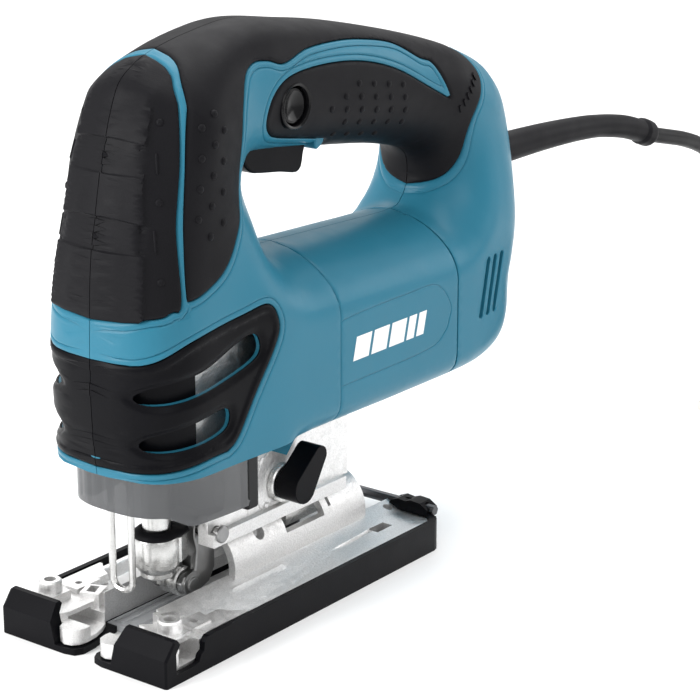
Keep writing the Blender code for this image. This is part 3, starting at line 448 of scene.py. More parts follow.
def half_width(p, depth):
    """Half-width of the body, moved in by depth, at points (y, z)."""
    y, z = p[:, 0], p[:, 1]
    nose = 1 - smoothstep(-78, -44, y)
    low_nose = NOSE_FOOT_HALF + (NOSE_HALF - NOSE_FOOT_HALF) * smoothstep(95, 155, z)
    upper = HANDLE_HALF + (REAR_HALF - HANDLE_HALF) * smoothstep(50, 92, y)
    body = BODY_HALF + (upper - BODY_HALF) * smoothstep(108, 156, z)
    body = body * (1 - REAR_TAPER * smoothstep(62, 112, y))
    width = body + (low_nose - body) * nose
    rise = smoothstep(66, 95, z)
    power = 2.5 + (1.95 - 2.5) * rise + 0.75 * smoothstep(150, 182, z) * (1 - smoothstep(70, 95, y))
    nose_power = 2.9 + (2.2 - 2.9) * smoothstep(100, 150, z) - 0.35 * smoothstep(165, 192, z)
    power = power + (nose_power - power) * nose
    reach = 14 + (23 - 14) * rise
    reach = reach + (29 + (25 - 29) * smoothstep(95, 128, z) - reach) * nose
    t = np.clip((edge_distance(p, (OUTER, HOLE)) - depth) / reach, 0, 1)
    return (width - depth) * (1 - (1 - t) ** power) ** (1 / power)


def offset_loop(loop, distance, outward):
    """Loop moved along its normals: into the body, whichever side that is."""
    along = np.roll(loop, -1, axis=0) - np.roll(loop, 1, axis=0)
    normal = np.stack([-along[:, 1], along[:, 0]], axis=1)
    normal /= np.linalg.norm(normal, axis=1)[:, None]
    area = (loop[:, 0] * np.roll(loop[:, 1], -1) - np.roll(loop[:, 0], -1) * loop[:, 1]).sum()
    sign = (1 if area > 0 else -1) * (-1 if outward else 1)
    return loop + normal * sign * distance


# --- skins: fine sheets of the body surface ------------------------------------------
OUTER = smooth_path(SIDE_OUTLINE, 2.2, closed=True)
HOLE = smooth_path(HOLE_OUTLINE, 2.0, closed=True)
SKIN_RINGS = (0.012, 0.08, 0.2, 0.4, 0.75, 1.25, 1.9, 2.8, 3.9, 5.2, 6.8, 8.6, 10.6, 12.8, 15.2, 17.8)


def closed_loop(outline, spacing=1.4):
    return smooth_path(outline, spacing, closed=True)


GRIP = closed_loop(GRIP_REGION)
NOSE = closed_loop(NOSE_REGION)
VENT = closed_loop(VENT_REGION)
VENT_SLOTS = [closed_loop(UPPER_SLOT, 1.2), closed_loop(LOWER_SLOT, 1.2)]


def polygon(corners, spacing):
    """Closed polygon with points every spacing along its sides."""
    points = []
    for (a, b), (c, d) in zip(corners, corners[1:] + corners[:1]):
        steps = max(1, round(float(np.hypot(c - a, d - b)) / spacing))
        points += [(a + (c - a) * k / steps, b + (d - b) * k / steps) for k in range(steps)]
    return np.array(points)


def rect(y0, y1, z0, z1, spacing=2.0):
    """Rectangle in the (y, z) plane."""
    return polygon([(y0, z0), (y1, z0), (y1, z1), (y0, z1)], spacing)


def circle(spot, radius, count=28):
    return np.array([(spot[0] + radius * cos(a), spot[1] + radius * sin(a))
                     for a in (tau * k / count for k in range(count))])


def rear_slots():
    slots = []
    for k in range(3):
        y = 76.5 + 5.4 * k
        top, low = (y + 0.6, 103), (y - 5.2, 82.5)
        arc = [radians(a) for a in range(0, 181, 30)]
        lean = np.array([top[0] - low[0], top[1] - low[1]])
        lean = lean / np.linalg.norm(lean)
        side = np.array([lean[1], -lean[0]])
        ends = [np.array(top) + 1.3 * (side * cos(a) + lean * sin(a)) for a in arc]
        ends += [np.array(low) - 1.3 * (side * cos(a) + lean * sin(a)) for a in arc]
        slots.append(np.array(ends))
    return slots


MOTOR_BAY = rect(JOINT_FRONT, JOINT_REAR, 40, 140)
MOTOR_SPAN = rect(JOINT_FRONT + GAP, JOINT_REAR - GAP, 41, 139)
NOSE_FOOT = rect(-130, -41.5, 10, RING_Z)
NOSE_STUB = rect(-60, -33, 5, 57.6)
REAR_SLOTS = rear_slots()
LOCK_HOLE = circle(LOCK_SPOT, 7.0, 48)


def in_chunks(function, p, *rest):
    if len(p) == 0:
        return function(p, *rest)
    return np.concatenate([function(p[i:i + 2500], *rest) for i in range(0, len(p), 2500)])


def signed(p, loop):
    """Distance to the loop, below zero inside it."""
    away = in_chunks(lambda q: edge_distance(q, (loop,)), p)
    return np.where(in_chunks(lambda q: inside(q, loop), p), -away, away)


def width_at(p, depth=0.0):
    depth = np.broadcast_to(np.asarray(depth, float), (len(p),))
    return np.concatenate([half_width(p[i:i + 2500], depth[i:i + 2500]) for i in range(0, len(p), 2500)])


def beside(loop, offsets):
    """Points at the offsets from a loop, outward above zero, with corners thinned."""
    points = []
    for offset in offsets:
        near = offset_loop(loop, abs(offset), offset > 0) if offset else loop
        away = in_chunks(lambda q: edge_distance(q, (loop,)), near)
        points.append(near[away > abs(offset) * 0.9])
    return points


def scatter(pitch, low, high):
    """Points of a skin: rings that follow the outline, then an even grid."""
    points = []
    for ring in SKIN_RINGS:
        near = np.concatenate([offset_loop(OUTER, ring, False), offset_loop(HOLE, ring, True)])
        away = in_chunks(lambda q: edge_distance(q, (OUTER, HOLE)), near)
        points.append(near[away > ring * 0.93])
    rows = np.arange(low[1], high[1], pitch * 0.87)
    grid = np.array([(y + (k % 2) * pitch / 2, z) for k, z in enumerate(rows)
                     for y in np.arange(low[0], high[0], pitch)])
    away = in_chunks(lambda q: edge_distance(q, (OUTER, HOLE)), grid)
    points.append(grid[away > min(17.0, pitch)])
    points = np.concatenate(points)
    return points[(points >= low).all(1) & (points <= high).all(1)]


def spared(points, loops, room):
    """The points that are farther than room from every loop."""
    return points[in_chunks(lambda q: edge_distance(q, loops), points) > room]


def triangles(loops, points, keep):
    verts, edges = [], []
    for loop in loops:
        start = len(verts)
        verts += [Vector(p) for p in loop]
        edges += [(start + i, start + (i + 1) % len(loop)) for i in range(len(loop))]
    verts += [Vector(p) for p in points]
    flat, _, faces, *_ = delaunay_2d_cdt(verts, edges, [], 0, 1e-4)
    flat = np.array([(v.x, v.y) for v in flat])
    faces = np.array([f for f in faces if len(f) == 3])
    faces = faces[keep(flat[faces].mean(1))]
    return flat, faces


def both(p, *tests):
    """True where every test holds; a test is (loop, wanted inside)."""
    result = np.ones(len(p), bool)
    for loop, wanted in tests:
        result &= in_chunks(lambda q: inside(q, loop), p) == wanted
    return result


def compacted(faces, total):
    """The points that faces use, and the faces numbered by them."""
    used = np.unique(faces)
    renumber = np.full(total, -1)
    renumber[used] = np.arange(len(used))
    return used, renumber[faces]


def skin(name, loops, points, keep, front, back, kind, body, node, mirrored=False):
    """Closed sheet between two depths under the body surface, for one side of it."""
    flat, faces = triangles(loops, points, keep)
    used, faces = compacted(faces, len(flat))
    flat = flat[used]
    front_x = np.maximum(width_at(flat, front(flat)), GAP / 2)
    used, faces = compacted(faces[(front_x[faces] > GAP / 2 + 1e-9).any(1)], len(flat))
    flat, front_x = flat[used], front_x[used]
    back_x = np.minimum(np.maximum(width_at(flat, back(flat)), GAP / 2), front_x)
    a, b, c = (flat[faces[:, k]] for k in range(3))
    turn = (b - a)[:, 0] * (c - a)[:, 1] - (b - a)[:, 1] * (c - a)[:, 0]
    faces[turn < 0] = faces[turn < 0][:, ::-1]
    count = len(flat)
    verts = np.concatenate([np.column_stack([front_x, flat]), np.column_stack([back_x, flat])])
    edges = {(int(f[i]), int(f[(i + 1) % 3])) for f in faces for i in range(3)}
    walls = [(q, p, p + count, q + count) for p, q in edges if (q, p) not in edges]
    all_faces = [tuple(f) for f in faces] + [tuple(f[::-1] + count) for f in faces] + walls
    if mirrored:
        verts[:, 0] *= -1
        all_faces = [f[::-1] for f in all_faces]
    bm = bmesh.new()
    made_verts = [bm.verts.new(tuple(v * MM)) for v in verts]
    for face in all_faces:
        bm.faces.new([made_verts[i] for i in face])
    bmesh.ops.remove_doubles(bm, verts=bm.verts, dist=0.004 * MM)
    bmesh.ops.dissolve_degenerate(bm, edges=bm.edges, dist=0.004 * MM)
    return as_piece(name, to_mesh(bm, name), kind, body, node, smooth_angle=42)


def at_depth(depth):
    """The same depth under the body surface everywhere."""
    return lambda p: np.full(len(p), depth)


def rounded_edge(distance, width=0.6, drop=0.35):
    """Depth that rounds an edge off, distance in from it."""
    return drop * np.clip(1 - distance / width, 0, 1) ** 2


SCORE_AT = 2.0                  # from a pad's border to the line scored round it
EDGE_OFFSETS = (-0.35, -0.05, 0.0, 0.15, 0.35, 0.6, 1.5, 1.8, 2.0, 2.2, 2.5, 3.0)


def shell_depth(p):
    """Recesses for the pads and covers, the score line round each, and soft edges."""
    depth = np.zeros(len(p))
    gaps = [signed(p, loop) - GAP for loop in (GRIP, NOSE, VENT)]
    for k, s in enumerate(gaps):
        depth = np.maximum(depth, np.where(s < -0.03, RECESS, rounded_edge(s)))
        others = np.min([g for j, g in enumerate(gaps) if j != k], axis=0)
        score = 0.4 * np.exp(-((s - SCORE_AT) / 0.2) ** 2)
        depth = np.maximum(depth, np.where(others > 2.6, score, 0))
    for loop in (MOTOR_BAY, *REAR_SLOTS):
        s = signed(p, loop)
        depth = np.maximum(depth, np.where(s > 0, rounded_edge(s, 0.6, 0.3), 0))
    return depth


def make_shells():
    loops = [OUTER, HOLE, MOTOR_BAY, NOSE_FOOT, NOSE_STUB, *REAR_SLOTS]
    borders = [offset_loop(loop, GAP, True) for loop in (GRIP, NOSE, VENT)]
    points = [spared(scatter(3.2, (-130, 25), (125, 215)), borders, 3.6)]
    for loop in borders:
        points += beside(loop, EDGE_OFFSETS)
    for loop in (MOTOR_BAY, *REAR_SLOTS):
        points += beside(loop, (0.15, 0.35, 0.6))
    for side, mirrored in SIDES:
        bores = [circle(spot, 3.9) for spot in SCREW_SPOTS] if mirrored else [LOCK_HOLE]
        cut_out = loops[2:] + VENT_SLOTS + bores

        def keep(p, cut_out=cut_out):
            return both(p, (OUTER, True), *((loop, False) for loop in [HOLE, *cut_out]))

        skin(f"shell_{side}", loops + borders + VENT_SLOTS + bores, np.concatenate(points), keep, shell_depth,
             at_depth(WALL), "blue", "body", f"housing_{side}", mirrored)


PANEL = closed_loop([(-30, 77.9), (-27, 86), (-18.3, 99.2), (-8, 101.5), (25, 102), (41.9, 101.1),
                     (50.4, 92), (49.5, 86), (47, 82.1), (37.6, 77.9), (5, 77)], 1.2)


def make_motor_section():
    """The blue section between the two joint lines, one piece for each side."""
    points = [spared(scatter(3.2, (JOINT_FRONT, 45), (JOINT_REAR, 140)), (PANEL,), 1.6)]
    points += beside(MOTOR_SPAN, (-0.15, -0.35, -0.6))
    points += beside(PANEL, (-1.0, -0.5, -0.25, 0.25, 0.5, 1.0))

    def front(p):
        edge = -signed(p, MOTOR_SPAN)
        score = 0.3 * np.exp(-(signed(p, PANEL) / 0.22) ** 2)
        return np.maximum(rounded_edge(edge, 0.6, 0.3), score)

    def keep(p):
        return both(p, (OUTER, True), (HOLE, False), (MOTOR_SPAN, True))

    for side, mirrored in SIDES:
        skin(f"motor_section_{side}", [OUTER, HOLE, MOTOR_SPAN, PANEL], np.concatenate(points), keep, front,
             at_depth(WALL), "blue", "body", "motor_housing", mirrored)


def pad_edge(p, loop, drop=0.5, width=0.9):
    return rounded_edge(-signed(p, loop), width, drop)


BANDS = ((176.8, 0.72, -98.2, 165.7, 14.0), (152.1, 0.48, -104.6, 141.1, 18.0))


def band_points():
    """Rows of points along the upper and lower edge of each band of the nose pad."""
    front = OUTER[(OUTER[:, 0] < -85) & (OUTER[:, 1] > 110) & (OUTER[:, 1] < 195)]
    front = front[np.argsort(front[:, 1])]
    points = []
    for top, fall, at, low, _ in BANDS:
        for away in (*SKIN_RINGS[:11], 1.6, 2.3, 3.3, 4.5):
            for beyond in (-0.9, -0.55, -0.3, -0.12, 0.0, 0.12, 0.3, 0.6):
                y = float(np.interp(top, front[:, 1], front[:, 0])) + away
                z = top - fall * (y - at) + beyond
                points.append((float(np.interp(z, front[:, 1], front[:, 0])) + away, z))
                z = low + beyond
                points.append((float(np.interp(z, front[:, 1], front[:, 0])) + away, z))
    return np.array(points)


def nose_depth(p):
    """Two stepped bands across the nose pad and a ridge where its front meets its side."""
    y, z = p[:, 0], p[:, 1]
    x = width_at(p)
    depth = pad_edge(p, NOSE)
    upper, lower = (smoothstep(0, 0.25, top - fall * (y - at) - z) * smoothstep(-0.6, 0, z - low)
                    for top, fall, at, low, _ in BANDS)
    front, wide = (1 - smoothstep(reach - 0.5, reach + 0.5, x) for *_, reach in BANDS)
    by_seam = smoothstep(0.4, 2.4, x)
    depth = depth + 0.9 * (upper * front + lower * wide) * by_seam
    crease = 11.5 + 6 * (1 - smoothstep(120, 190, z))
    return depth - 1.0 * np.exp(-((x - crease) / 2.0) ** 2) * (1 - smoothstep(184, 196, z))


def make_pads():
    grip_points = [scatter(2.4, (-95, 120), (92, 212))] + beside(GRIP, (-0.15, -0.4, -0.9, -1.6))
    nose_points = [scatter(0.9, (-112, 119), (-74, 208)), band_points()] + beside(NOSE, (-0.15, -0.4, -0.9))
    vent_points = [scatter(1.5, (-112, 68), (-48, 118))] + beside(VENT, (-0.15, -0.4, -0.9, -2.2, -2.6, -3.2))
    for slot in VENT_SLOTS:
        vent_points += beside(slot, (0.2, 0.5, 0.9, 1.6, 2.0, 2.6))
    for side, mirrored in SIDES:
        bores = [circle(spot, 4.2) for spot in SCREW_SPOTS[:2]] if mirrored else [LOCK_HOLE]

        def keep_grip(p, bores=bores):
            return both(p, (OUTER, True), (HOLE, False), (GRIP, True), *((b, False) for b in bores))

        def keep_nose(p):
            return both(p, (OUTER, True), (NOSE, True))

        def keep_vent(p):
            return both(p, (OUTER, True), (VENT, True), *((s, False) for s in VENT_SLOTS))

        skin(f"grip_{side}", [OUTER, HOLE, GRIP, *bores], np.concatenate(grip_points), keep_grip,
             lambda p: pad_edge(p, GRIP), at_depth(PAD), "soft", "body",
             f"grip_pad_{side}", mirrored)
        skin(f"nose_{side}", [OUTER, NOSE], np.concatenate(nose_points), keep_nose, nose_depth,
             at_depth(PAD), "soft", "body", f"nose_pad_{side}", mirrored)
        skin(f"vent_{side}", [OUTER, VENT, *VENT_SLOTS], np.concatenate(vent_points), keep_vent, vent_depth,
             at_depth(PAD + 0.4), "black", "body", f"vent_cover_{side}", mirrored)


def vent_depth(p):
    """A raised rim round the cover, and sills that fall away to its two slots."""
    rim = -signed(p, VENT)
    depth = rounded_edge(rim, 0.9, 0.5) + 0.5 * smoothstep(2.3, 3.0, rim)
    for slot in VENT_SLOTS:
        depth = depth + 0.9 * (1 - smoothstep(0.2, 2.4, signed(p, slot)))
    return depth


def normal_at(y, z, depth=0.0):
    step = 0.15
    probe = np.array([(y, z), (y + step, z), (y - step, z), (y, z + step), (y, z - step)])
    x, y_up, y_low, z_up, z_low = width_at(probe, depth)
    normal = Vector((1, -(y_up - y_low) / (2 * step), -(z_up - z_low) / (2 * step))).normalized()
    return Vector((x, y, z)), normal


def stud_mesh(bm, start, end, radius, height, side, depth=0.0):
    """Low rounded stud on the body surface, drawn out from start to end."""
    spots = [normal_at(*start, depth), normal_at(*end, depth)]
    rows = []
    for level, wide in ((-0.3, 1.0), (0.35, 0.93), (0.75, 0.7), (0.96, 0.38)):
        row = []
        for k in range(16):
            a = tau * k / 16
            base, normal = spots[0] if cos(a) < 0 else spots[1]
            along = Vector((0, end[0] - start[0], end[1] - start[1]))
            if along.length < 1e-6:
                along = Vector((0, 0, 1))
            u = (along - normal * along.dot(normal)).normalized()
            v = normal.cross(u)
            point = base + (u * cos(a) + v * sin(a)) * radius * wide + normal * (height * level)
            row.append(bm.verts.new((point.x * side * MM, point.y * MM, point.z * MM)))
        rows.append(row)
    for low, top in zip(rows, rows[1:]):
        for k in range(16):
            face = (low[k], low[(k + 1) % 16], top[(k + 1) % 16], top[k])
            bm.faces.new(face if side > 0 else face[::-1])
    bm.faces.new(rows[-1] if side > 0 else rows[-1][::-1])
    bm.faces.new(rows[0][::-1] if side > 0 else rows[0])


def make_studs():
    """Raised dots of the grip strip, the handle inset and the nose pad."""
    strip = []
    for k in range(5):
        strip.append((-75.1 - 1.25 * k, 183.6 - 9.9 * k))
        if k < 4:
            strip.append((-80.9 - 1.4 * k, 179.8 - 9.75 * k))
            strip.append((-71.3 - 0.6 * k, 177.7 - 10.1 * k))
    inset = []
    for row, (first, count) in enumerate(((8.5, 4), (1.1, 5), (-6.6, 6), (2.9, 5), (0.5, 4))):
        for k in range(count):
            y = first + 8.75 * k
            inset.append((y, 181.6 - 4.7 * row - 0.165 * y))
    nose = [(-91.0, 182.2), (-96.3, 157.4), (-99.6, 132.2)]
    bars = [((-94.3, 172.4), (-95.3, 166.8)), ((-98.6, 148.3), (-99.4, 141.6))]
    groups = (("strip_studs", strip, 1.35, 0.75), ("inset_studs", inset, 1.25, 0.65),
              ("nose_studs", nose, 1.3, 0.6))
    for side, word in ON_SIDES[::-1]:
        for name, spots, radius, height in groups:
            bm = bmesh.new()
            for spot in spots:
                stud_mesh(bm, spot, spot, radius, height, side)
            if name == "nose_studs":
                for start, end in bars:
                    stud_mesh(bm, start, end, 0.5, 0.45, side)
            as_piece(f"{name}_{word}", to_mesh(bm, name), "soft", "body", smooth_angle=60)


# --- the cord --------------------------------------------------------------------------
GUARD_ROUTE = [(0, 106, 133), (0, 118, 133), (0, 135, 132.9), (0, 160, 132.5), (0, 185, 131.4),
               (0, 205, 129.6), (0, 225, 126), (0, 240, 121.6), (0, 247, 119.1)]


def cord_path():
    """Lead, wound coil and tail as one line."""
    cx, cy = COIL_CENTRE
    stations = []
    for k, level in enumerate(COIL_LEVELS):
        order = COIL_COLUMNS if k % 2 == 0 else COIL_COLUMNS[::-1]
        stations += [(radius, level) for radius in order]
    turns = []
    angle = COIL_START
    for (r, z), (next_r, next_z) in zip(stations, stations[1:] + stations[-1:]):
        for k in range(COIL_STEPS):
            share = smoothstep(0.72, 1.0, k / COIL_STEPS)
            radius, level = r + (next_r - r) * share, z + (next_z - z) * share
            turns.append((cx + radius * cos(angle), cy + radius * sin(angle), level))
            angle -= tau / COIL_STEPS
    while angle > COIL_START - tau * len(stations) - COIL_OVERRUN:
        turns.append((cx + r * cos(angle), cy + r * sin(angle), z))
        angle -= tau / COIL_STEPS
    lead = smooth_path(GUARD_ROUTE[1:-1] + CORD_ROUTE, 8.0)
    joined = smooth_path([tuple(lead[-1]), (70.5, 387.6, 3.9), (76.5, 382.8, 3.9), tuple(turns[0])], 5.0)
    tail = smooth_path([turns[-1], *TAIL_ROUTE], 8.0)
    return np.concatenate([lead[:-1], joined[:-1], np.array(turns[:-1]), tail])


def tube_object(name, points, radius, kind, body, *nodes, radii=None, resolution=5):
    curve = bpy.data.curves.new(name, "CURVE")
    curve.dimensions = "3D"
    curve.bevel_depth = radius * MM
    curve.bevel_resolution = resolution
    curve.use_fill_caps = True
    spline = curve.splines.new("POLY")
    spline.points.add(len(points) - 1)
    for k, (point, where) in enumerate(zip(spline.points, points)):
        point.co = (*(Vector([float(c) for c in where]) * MM), 1)
        if radii is not None:
            point.radius = radii[k] / radius
    spline.use_smooth = True
    curve.materials.append(finish_of(kind))
    return in_place(linked(name, curve), body, nodes)


def make_guard():
    """Strain relief: a sleeve that tapers to its waist, with a collar at its end."""
    centre = smooth_path(GUARD_ROUTE, 1.0)
    run = run_along(centre)
    stations = (0, 12, 29, 54, 80, 98, 121, 136, run[-1])
    radii = np.interp(run, stations, (6.8, 6.6, 6.2, 5.7, 5.2, 4.9, 5.1, 5.0, 5.0))
    collar = smoothstep(134.5, 135.5, run) * (1 - smoothstep(run[-1] - 1.2, run[-1], run) * 0.5)
    radii = radii + 0.9 * collar
    return tube_object("guard", centre, 8.4, "soft", "body", "cord_guard", radii=radii, resolution=7)


def make_cord():
    points = cord_path()
    guard = make_guard()
    lead = tube_object("mains_cord", points, CORD_D / 2, "sheath", "body",
                       "cord_lead", "cord_coil", "cord_tail")
    plug = refined("plug_body", "black", 0.8, 3)
    pins = [refined(f"plug_pin_{k}", "pin", 0.5, 3) for k in (1, 2)]
    tie = make_tie()


def make_tie():
    """Flat strap round one side of the coil, closed by its own end."""
    cx, cy = COIL_CENTRE
    inner, outer = COIL_COLUMNS[1] - 3.7, COIL_COLUMNS[0] + 3.7
    low, top = 0.35, COIL_LEVELS[-1] + 3.75
    corner = 3.0
    outline = []
    for (u, v), start in (((outer - corner, top - corner), 0), ((inner + corner, top - corner), 90),
                          ((inner + corner, low + corner), 180), ((outer - corner, low + corner), 270)):
        outline += [(u + corner * cos(radians(start + a)), v + corner * sin(radians(start + a)))
                    for a in range(0, 91, 15)]
    angle = radians(200)
    across = Vector((-sin(angle), cos(angle), 0))
    verts, faces = [], []
    for width in (-5.5, -5.0, 5.0, 5.5):
        for thick in (0.0, 0.9):
            for u, v in outline:
                grow = thick if abs(width) < 5.2 else thick * 0.6
                mid = Vector(((inner + outer) / 2, (low + top) / 2))
                out = (Vector((u, v)) - mid).normalized() * grow
                r, z = u + out.x, max(0.05, v + out.y)
                verts.append(Vector((cx + r * cos(angle), cy + r * sin(angle), z)) + across * width)
    count = len(outline)

    def at(width, thick, k):
        return (width * 2 + thick) * count + k % count

    for k in range(count):
        for w in range(3):
            faces.append((at(w, 1, k), at(w, 1, k + 1), at(w + 1, 1, k + 1), at(w + 1, 1, k)))
            faces.append((at(w, 0, k), at(w + 1, 0, k), at(w + 1, 0, k + 1), at(w, 0, k + 1)))
        faces.append((at(0, 0, k), at(0, 0, k + 1), at(0, 1, k + 1), at(0, 1, k)))
        faces.append((at(3, 1, k), at(3, 1, k + 1), at(3, 0, k + 1), at(3, 0, k)))
    return mesh_object("cord_tie", verts, faces, "black", "body")


# --- solid shaping: stock joined and cut, then rounded ----------------------------------
AXES = {"X": (1, 2, 0), "Y": (0, 2, 1), "Z": (0, 1, 2)}


def stock(bm):
    """Loose solid in the scene, to be joined or cut and then let go."""
    bmesh.ops.recalc_face_normals(bm, faces=bm.faces)
    return linked("stock", to_mesh(bm, "stock"))


def loft(rows):
    """Closed solid through rings of points in millimetres."""
    bm = bmesh.new()
    rings = [[bm.verts.new(Vector(p) * MM) for p in row] for row in rows]
    for low, top in zip(rings, rings[1:]):
        for k in range(len(low)):
            bm.faces.new((low[k], low[(k + 1) % len(low)], top[(k + 1) % len(low)], top[k]))
    bm.faces.new(rings[0][::-1])
    bm.faces.new(rings[-1])
    return stock(bm)


def prism(outline, axis, low, high):
    """Outline in the plane across the axis, in the order x, y, z, drawn out from low to high."""
    u, v, w = AXES[axis]
    rows = []
    for level in (low, high):
        row = []
        for a, b in outline:
            point = [0.0, 0.0, 0.0]
            point[u], point[v], point[w] = a, b, level
            row.append(point)
        rows.append(row)
    return loft(rows)


def arc(centre, radius, degrees):
    return [(centre[0] + radius * cos(radians(d)), centre[1] + radius * sin(radians(d))) for d in degrees]


def block(low, high):
    (x0, y0, z0), (x1, y1, z1) = low, high
    return prism([(x0, y0), (x1, y0), (x1, y1), (x0, y1)], "Z", z0, z1)


def turned(axis, centre, profile, sides=40):
    """Profile of (radius, place along the axis) turned about an axis through centre."""
    u, v, w = AXES[axis]
    rows = []
    for radius, level in profile:
        row = []
        for k in range(sides):
            point = [float(c) for c in centre]
            point[u] += radius * cos(tau * k / sides)
            point[v] += radius * sin(tau * k / sides)
            point[w] = level
            row.append(point)
        rows.append(row)
    return loft(rows)


def pipe(axis, centre, outer, inner, low, high, edge=0.3, sides=40):
    """Ring with eased rims."""
    profile = [(outer - edge, low), (outer, low + edge), (outer, high - edge), (outer - edge, high)]
    bore = [(inner, low - 1), (inner, high + 1)]
    return carved(turned(axis, centre, profile, sides), (), [turned(axis, centre, bore, sides)])


def carved(first, joined=(), cuts=()):
    """First with the others joined on, then the cuts taken off, as one loose solid."""
    for operation, others in (("UNION", joined), ("DIFFERENCE", cuts)):
        for other in others:
            step = first.modifiers.new("step", "BOOLEAN")
            step.operation = operation
            step.solver = "MANIFOLD"
            step.object = other
    view = bpy.context.evaluated_depsgraph_get()
    mesh = bpy.data.meshes.new_from_object(first.evaluated_get(view))
    for used in (first, *joined, *cuts):
        bpy.data.objects.remove(used)
    return linked("stock", mesh)


def flipped(obj):
    """The same solid on the other side of the middle plane."""
    mesh = obj.data.copy()
    for vert in mesh.vertices:
        vert.co.x = -vert.co.x
    mesh.flip_normals()
    return linked("stock", mesh)


def piece(name, obj, kind, body, *nodes, width=0.4, segments=2, angle=32):
    """A loose solid made into a shown piece, with its edges rounded."""
    bm = bmesh.new()
    bm.from_mesh(obj.data)
    bpy.data.objects.remove(obj)
    bmesh.ops.remove_doubles(bm, verts=bm.verts, dist=0.01 * MM)
    shown = as_piece(name, to_mesh(bm, name), kind, body, *nodes, smooth_angle=angle)
    if width:
        round_edges(shown, width, segments, angle)
    return shown


def height_field(xs, ys, top, bottom):
    """Solid whose upper side is top(x, y), over a grid of stations."""
    bm = bmesh.new()
    grid = [[bm.verts.new(Vector((x, y, top(x, y))) * MM) for y in ys] for x in xs]
    low = [[bm.verts.new(Vector((x, y, bottom)) * MM) for y in ys] for x in xs]
    for i in range(len(xs) - 1):
        for j in range(len(ys) - 1):
            bm.faces.new((grid[i][j], grid[i + 1][j], grid[i + 1][j + 1], grid[i][j + 1]))
            bm.faces.new((low[i][j], low[i][j + 1], low[i + 1][j + 1], low[i + 1][j]))
    for i in range(len(xs) - 1):
        for j in (0, len(ys) - 1):
            bm.faces.new((grid[i][j], low[i][j], low[i + 1][j], grid[i + 1][j]))
    for j in range(len(ys) - 1):
        for i in (0, len(xs) - 1):
            bm.faces.new((grid[i][j], grid[i][j + 1], low[i][j + 1], low[i][j]))
    return stock(bm)


# --- the base ----------------------------------------------------------------------------
SADDLE_Z = 15.5
SADDLE_R = 15.4
SADDLE_BORE_R = 12.4
RIM_TOP = 10.4
RIM_X = 33.2
FRONT_BLOCK_END = -72.0


def deck_height(x, y):
    """Deck that falls from the saddle to the rim, with a flat rising toward the back."""
    slope = 12.4 - 0.42 * (x - 14.5)
    flat = 7.0 + 0.062 * (y + 40)
    high = max(slope, min(flat, 10.4))
    high = high + 0.4 * exp(-((slope - flat) / 0.9) ** 2)
    on_line = smoothstep(-62, -60, y) * (1 - smoothstep(-34.5, -33.5, y))
    high += 0.55 * on_line * exp(-((x - 18.2) / 0.55) ** 2)
    high += 0.7 * exp(-(((x - 18.2) ** 2 + (y + 33.4) ** 2) / 1.6))
    in_groove = smoothstep(-10, 4, y) * (1 - smoothstep(13, 14, y))
    high -= 1.3 * in_groove * (1 - smoothstep(0.7, 1.0, abs(x - 22.2)))
    rim = RIM_TOP - 0.34 * (x - RIM_X) ** 2
    high = max(high, rim) + 0.25 * exp(-((high - rim) / 0.8) ** 2)
    return float(high)


